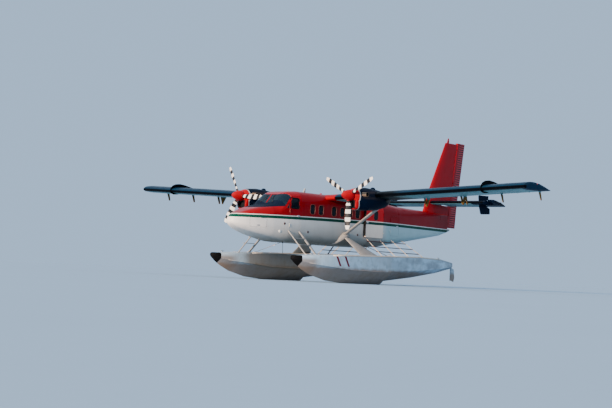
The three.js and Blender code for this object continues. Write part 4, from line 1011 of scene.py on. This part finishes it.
# Rudder beads: half-round ribs across both faces, each low at its ends
TRAIL_KNEE = (14.65, 2.2)
TRAIL_SLOPES = (0.09 / 1.03, 0.44 / 2.82)
RUDDER_FRONT, RUDDER_BACK = 0.062, 0.008
BEAD_FOOT, BEAD_TOP = 1.27, 4.9
BEAD_FROM_HINGE, BEAD_FROM_TRAIL = 0.16, 0.05
BEAD_RISE, BEAD_HALF = 0.007, 0.02
BEAD_STEPS, BEAD_END, BEAD_FULLNESS = 6, 0.06, 0.4
beads = bmesh.new()
for _, side in SIDES:
    z = BEAD_FOOT
    while z < BEAD_TOP:
        hinge = HINGE_FOOT[0] + (z - HINGE_FOOT[1]) * HINGE_SLOPE
        trailing = TRAIL_KNEE[0] + (z - TRAIL_KNEE[1]) * TRAIL_SLOPES[z > TRAIL_KNEE[1]]
        start, end = hinge + BEAD_FROM_HINGE, trailing - BEAD_FROM_TRAIL
        loops = []
        for k in range(BEAD_STEPS + 1):
            s = start + (end - start) * k / BEAD_STEPS
            skin = RUDDER_FRONT + (RUDDER_BACK - RUDDER_FRONT) * (s - hinge) / (trailing - hinge)
            share = min(max(k / BEAD_STEPS, BEAD_END), 1 - BEAD_END)
            rise = BEAD_RISE * math.sin(math.pi * share) ** BEAD_FULLNESS
            angles = [math.pi * i / 5 for i in range(6)]
            loops.append([at(s, side * (skin - SUNK + rise * math.sin(a)), z + BEAD_HALF * math.cos(a))
                          for a in angles])
        rings(beads, loops)
        z += BEAD_PITCH
piece("rudder_beads", beads, RUDDER_PAINT, "rudder")

# Lamps at the wing tips
TIP_LAMP_Y = 9.845
TIP_DOME = [(0, 0.045), (0.02, 0.044), (0.045, 0.036), (0.06, 0.02), (0.066, 0.003)]
for (tag, side), glow in zip(SIDES, (RED_LAMP, GREEN_LAMP)):
    dome = bmesh.new()
    foot = at(5.45, side * TIP_LAMP_Y, wing_z(TIP_LAMP_Y) + 0.1)
    turned(dome, foot, Vector((0.1, side * 0.3, 0.95)), TIP_DOME, 16)
    piece(f"tip_lamp_{tag}", dome, glow)

# Static wicks on the ailerons' trailing edges
WICK_Y = (8.3, 8.8, 9.3)
WICK_INSET, WICK_DROP = 0.015, 0.014
WICK = Vector((-0.13, 0, -0.01))
for tag, side in SIDES:
    wicks = bmesh.new()
    for y in WICK_Y:
        start = at(WING_LE + CHORD - WICK_INSET, side * y, wing_z(y) - WICK_DROP)
        rod(wicks, start, start + WICK, 0.004, 6)
    piece(f"aileron_wicks_{tag}", wicks, PLASTIC, f"{tag}_aileron")

# Floats: hatches, cleats and non-slip strips on the deck, spray rails, and strips along the deck's edges.
# Places are shares of the half width. Sections are (outward, up).
HATCH_S = (2.75, 3.9, 4.9, 7.5, 8.6, 9.6)
HATCH = [(0, 0.085), (0.008, 0.085), (0.012, 0.078), (0.009, 0.06), (0.009, 0.01)]
CLEAT_S = (2.15, 6.75, 10.2)
HATCH_PLACE, CLEAT_PLACE = 0.25, 0.6
CLEAT_FEET, CLEAT_HALF, CLEAT_TOP, CLEAT_BAR = (-0.04, 0.04), 0.1, 0.04, 0.045
STRIPS, STRIP_INBOARD, STRIP_HALF = ((3.35, 5.0), (6.9, 9.3)), 0.05, 0.09
STRIP_SECTION = ((-1, -0.002), (-1, 0.002), (-0.9, 0.005), (0.9, 0.005), (1, 0.002), (1, -0.002))
RAIL_S = (1.95, 2.3, 2.8, 3.2, 3.7, 4.2, 5.0, 5.8, 6.58)
RAIL_SECTION = ((0, 0.012), (0.012, 0.008), (0.02, -0.012), (0.014, -0.02), (0, -0.014))
EDGE_S = (3.1, 3.7, 4.2, 5.0, 5.8, 6.6, 7.6, 8.6, 9.4, 10.2)
EDGE_SECTION = ((-.03, .03), (-.012, .034), (.012, .014), (.022, -.006), (.014, -.022), (-.01, -.02))
EDGE_DROP = 0.03


def edging(side, stations, height, section, inset):
    """A strip along both edges of a float."""
    bm = bmesh.new()
    for way in (1, -1):
        loops = []
        for s in stations:
            y = FLOAT_Y + way * (float_at(s)[0] - inset)
            loops.append([at(s, side * (y + way * a), height(s) + up) for a, up in section])
        rings(bm, loops)
    return bm


for tag, side in SIDES:
    hatches, cleats, strips = bmesh.new(), bmesh.new(), bmesh.new()
    for s in HATCH_S:
        half, deck, _ = float_at(s)
        aim = Vector((deck - deck_z(s + 0.1), 0, 0.1))
        turned(hatches, at(s, side * (FLOAT_Y + half * HATCH_PLACE), deck - SUNK), aim, HATCH)
    piece(f"deck_hatches_{tag}", hatches, BARE)
    for s in CLEAT_S:
        half, deck, _ = float_at(s)
        y, bar = side * (FLOAT_Y + half * CLEAT_PLACE), deck + CLEAT_BAR
        for foot in CLEAT_FEET:
            rod(cleats, at(s + foot, y, deck - SUNK), at(s + foot, y, deck + CLEAT_TOP), 0.011, 8)
        rod(cleats, at(s - CLEAT_HALF, y, bar), at(s + CLEAT_HALF, y, bar), 0.011, 8)
    piece(f"deck_cleats_{tag}", cleats, BARE)
    for s0, s1 in STRIPS:
        rings(strips, [[at(s, side * (FLOAT_Y - STRIP_INBOARD + STRIP_HALF * a), deck_z(s) + up)
                        for a, up in STRIP_SECTION] for s in [s0 + (s1 - s0) * k / 6 for k in range(7)]])
    piece(f"deck_walkways_{tag}", strips, NON_SLIP)
    rails = edging(side, RAIL_S, lambda s: float_at(s)[2], RAIL_SECTION, 0.006)
    piece(f"spray_rails_{tag}", rails, FLOAT)
for tag, side in SIDES:
    edges = edging(side, EDGE_S, lambda s: deck_z(s) - EDGE_DROP, EDGE_SECTION, 0.014)
    piece(f"deck_edge_strips_{tag}", edges, AERIAL)

# Feet of the float struts: a pad with a bolt head at each corner. Columns: s, y, half length, half width
FEET = [(2.47, 1.79, 0.06, 0.06), (3.05, 1.78, 0.1, 0.06), (7.74, 1.635, 0.06, 0.05)]
PAD_LONG, PAD_WIDE, PAD_CORNER = 0.03, 0.02, 0.03
PAD_SECTION = ((1, -0.01), (1, 0.008), (0.93, 0.013), (0.1, 0.013))
BOLT_HEAD = [(0, 0.01), (0.008, 0.01), (0.011, 0.006)]
BOLT_INSET, BOLT_FOOT = 0.012, 0.01
for tag, side in SIDES:
    pads = bmesh.new()
    for s, y, long, wide in FEET:
        reach, half = long + PAD_LONG, wide + PAD_WIDE
        outline = rounded(s - reach, s + reach, -half, half, PAD_CORNER, 4)
        centre = centre_of(outline)
        rings(pads, [[at(centre[0] + (a - centre[0]) * share, side * (y + b * share), deck_z(a) + up)
                      for a, b in outline] for share, up in PAD_SECTION])
        for a in (-1, 1):
            for b in (-1, 1):
                spot = at(s + a * (long + BOLT_INSET), side * (y + b * wide), deck_z(s) + BOLT_FOOT)
                turned(pads, spot, UP, BOLT_HEAD, 6)
    piece(f"strut_pads_{tag}", pads, BARE)

# Seats: crowned cushions, smoothed by subdivision
SEAT_PITCH = 0.74
SEAT_ROWS = 5
# Rings of a cushion. Columns: share of its width, share of half its thickness
CUSHION_RINGS = ((0.35, 1.0), (0.75, 0.93), (0.94, 0.66), (1.0, 0.0), (0.94, -0.6), (0.6, -0.75))
CUSHION_POINTS, SQUARENESS, FULL = 20, 0.82, 0.98


def cushion(name, centre, half, thick, tilt):
    """A stuffed pad, full in the middle and thin at its edge."""
    bm = bmesh.new()
    loops = []
    for share, rise in CUSHION_RINGS:
        loops.append([])
        for i in range(CUSHION_POINTS):
            x, y = math.cos(math.tau * i / CUSHION_POINTS), math.sin(math.tau * i / CUSHION_POINTS)
            reach = FULL * share / max(abs(x), abs(y)) ** SQUARENESS
            loops[-1].append(Vector((half[0] * reach * x, half[1] * reach * y, thick / 2 * rise)))
    rings(bm, loops)
    placed = Matrix.Translation(centre) @ Matrix.Rotation(tilt, 4, "Y")
    bmesh.ops.transform(bm, matrix=placed, verts=bm.verts)
    ob = piece(name, bm, CLOTH)
    soft = ob.modifiers.new("soft", "SUBSURF")
    soft.levels = soft.render_levels = 2
    return ob


# Columns: row name, station, y of each place, half width, top of the back
PLACES = [("crew", 2.44, (0.38, -0.38), 0.2, 1.48)]
PLACES += [(f"row_{row + 1}", 3.54 + SEAT_PITCH * row, (0.54, -0.22, -0.58), 0.165, 1.4)
           for row in range(SEAT_ROWS)]
PAD_THICK, SEAT_TILT = 0.07, math.radians(-2.5)
BACK_FOOT, BACK_LEAN, BACK_FROM, BACK_SET, BACK_MARGIN = 0.93, 0.1, 0.87, 0.28, 0.97
for row, s, places, half, top in PLACES:
    lean = math.atan2(BACK_LEAN, top - BACK_FROM)
    upright = math.pi / 2 + lean
    for number, y in enumerate(places, 1):
        cushion(f"seat_cushion_{row}_{number}", at(s + 0.175, y, 0.915), (0.2, half), PAD_THICK, SEAT_TILT)
        middle = at(s + 0.425 + lean * BACK_SET, y, (BACK_FOOT + top) / 2)
        cushion(f"back_cushion_{row}_{number}", middle, ((top - BACK_MARGIN) / 2, half), PAD_THICK, upright)
        head = at(s + 0.53, y, top + 0.07)
        cushion(f"headrest_{row}_{number}", head, (0.075, half * 0.62), 0.08, upright)

# Instrument panel: two rows of round dials facing each crew seat
DIAL_RIM = [(0, 0.05), (0.008, 0.05), (0.01, 0.044), (0.006, 0.04), (0.006, 0.005)]
DIAL_Y, DIAL_Z, DIAL_PITCH, DIAL_SUNK = 0.25, 1.07, 0.14, 0.002
PANEL_S, PANEL_Z, PANEL_LEAN = 2.04, 0.96, 50 / 370
DIAL_AIM = Vector((-1, 0, 0.13))
dials = bmesh.new()
for _, side in SIDES:
    for column in range(3):
        for row in range(2):
            y, z = side * (DIAL_Y + DIAL_PITCH * column), DIAL_Z + DIAL_PITCH * row
            s = PANEL_S + (z - PANEL_Z) * PANEL_LEAN
            turned(dials, at(s - DIAL_SUNK, y, z), DIAL_AIM, DIAL_RIM)
piece("panel_dials", dials, DIAL)

# Stage
REACH = 600
FLOOR_CORNERS = [(-REACH, -REACH, 0), (REACH, -REACH, 0), (REACH, REACH, 0), (-REACH, REACH, 0)]
floor_mesh = bpy.data.meshes.new("floor")
floor_mesh.from_pydata(FLOOR_CORNERS, [], [(0, 1, 2, 3)])
floor = added("floor", floor_mesh)
world = bpy.data.worlds.new("studio")
world.use_nodes = True
bpy.context.scene.world = world
SKY = (0.45, 0.645, 0.90)
fixed(world.node_tree.nodes["Background"], Color=(*SKY, 1), Strength=1.0)

# Broad lamps far away. Columns: name, bearing from ahead towards port, height, spread, power, colour
LIGHTS = [
    ("low_warm", 2, 11, 7, 13.5, (1.0, 0.76, 0.58)),
    ("open_side", 65, 32, 60, 0.7, (0.84, 0.93, 1.0)),
    ("far_side", -130, 40, 70, 0.5, (0.86, 0.93, 1.0)),
]
LIGHT_DISTANCE = 40
falling = list(SKY)
for name, bearing, height, spread, power, colour in LIGHTS:
    data = bpy.data.lights.new(name, "SUN")
    data.angle, data.energy, data.color = math.radians(spread), power, colour
    ob = added(name, data)
    b, h = math.radians(bearing), math.radians(height)
    towards = Vector((math.cos(b) * math.cos(h), math.sin(b) * math.cos(h), math.sin(h)))
    ob.location = towards * LIGHT_DISTANCE
    ob.rotation_euler = towards.to_track_quat("Z", "Y").to_euler()
    falling = [f + power * math.sin(h) / math.pi * c for f, c in zip(falling, colour)]

# The floor's colour makes it as bright as the backdrop where they meet.
FLOOR_COLOUR = tuple(sky / total for sky, total in zip(SKY, falling))
floor_shader = Shader("floor_finish", 1.0, gloss=0.0)
floor.data.materials.append(floor_shader.finish(floor_shader.worn(FLOOR_COLOUR, 0.02, 0.4)))

# Camera: the photograph's place and direction
YAW, PITCH, ROLL = (math.radians(a) for a in (41.293, 2.932, 2.668))
CAMERA_PLACE = Vector((43.8664, 35.7282, 0.2784))
FOCAL_PIXELS = 1371.87
FRAME_WIDTH = 612
SENSOR = 36.0
CLIP_END = 2000
ahead = Vector((-math.cos(YAW) * math.cos(PITCH), -math.sin(YAW) * math.cos(PITCH), math.sin(PITCH)))
right = ahead.cross(UP).normalized()
upward = right.cross(ahead)
rolled_right = math.cos(ROLL) * right + math.sin(ROLL) * upward
rolled_up = math.cos(ROLL) * upward - math.sin(ROLL) * right
camera_data = bpy.data.cameras.new("camera")
camera_data.sensor_width = SENSOR
camera_data.lens = SENSOR * FOCAL_PIXELS / FRAME_WIDTH
camera_data.clip_end = CLIP_END
camera = added("camera", camera_data)
aim = Matrix((rolled_right, rolled_up, -ahead)).transposed().to_4x4()
camera.matrix_world = Matrix.Translation(CAMERA_PLACE) @ aim
bpy.context.scene.camera = camera

bpy.context.view_layer.update()
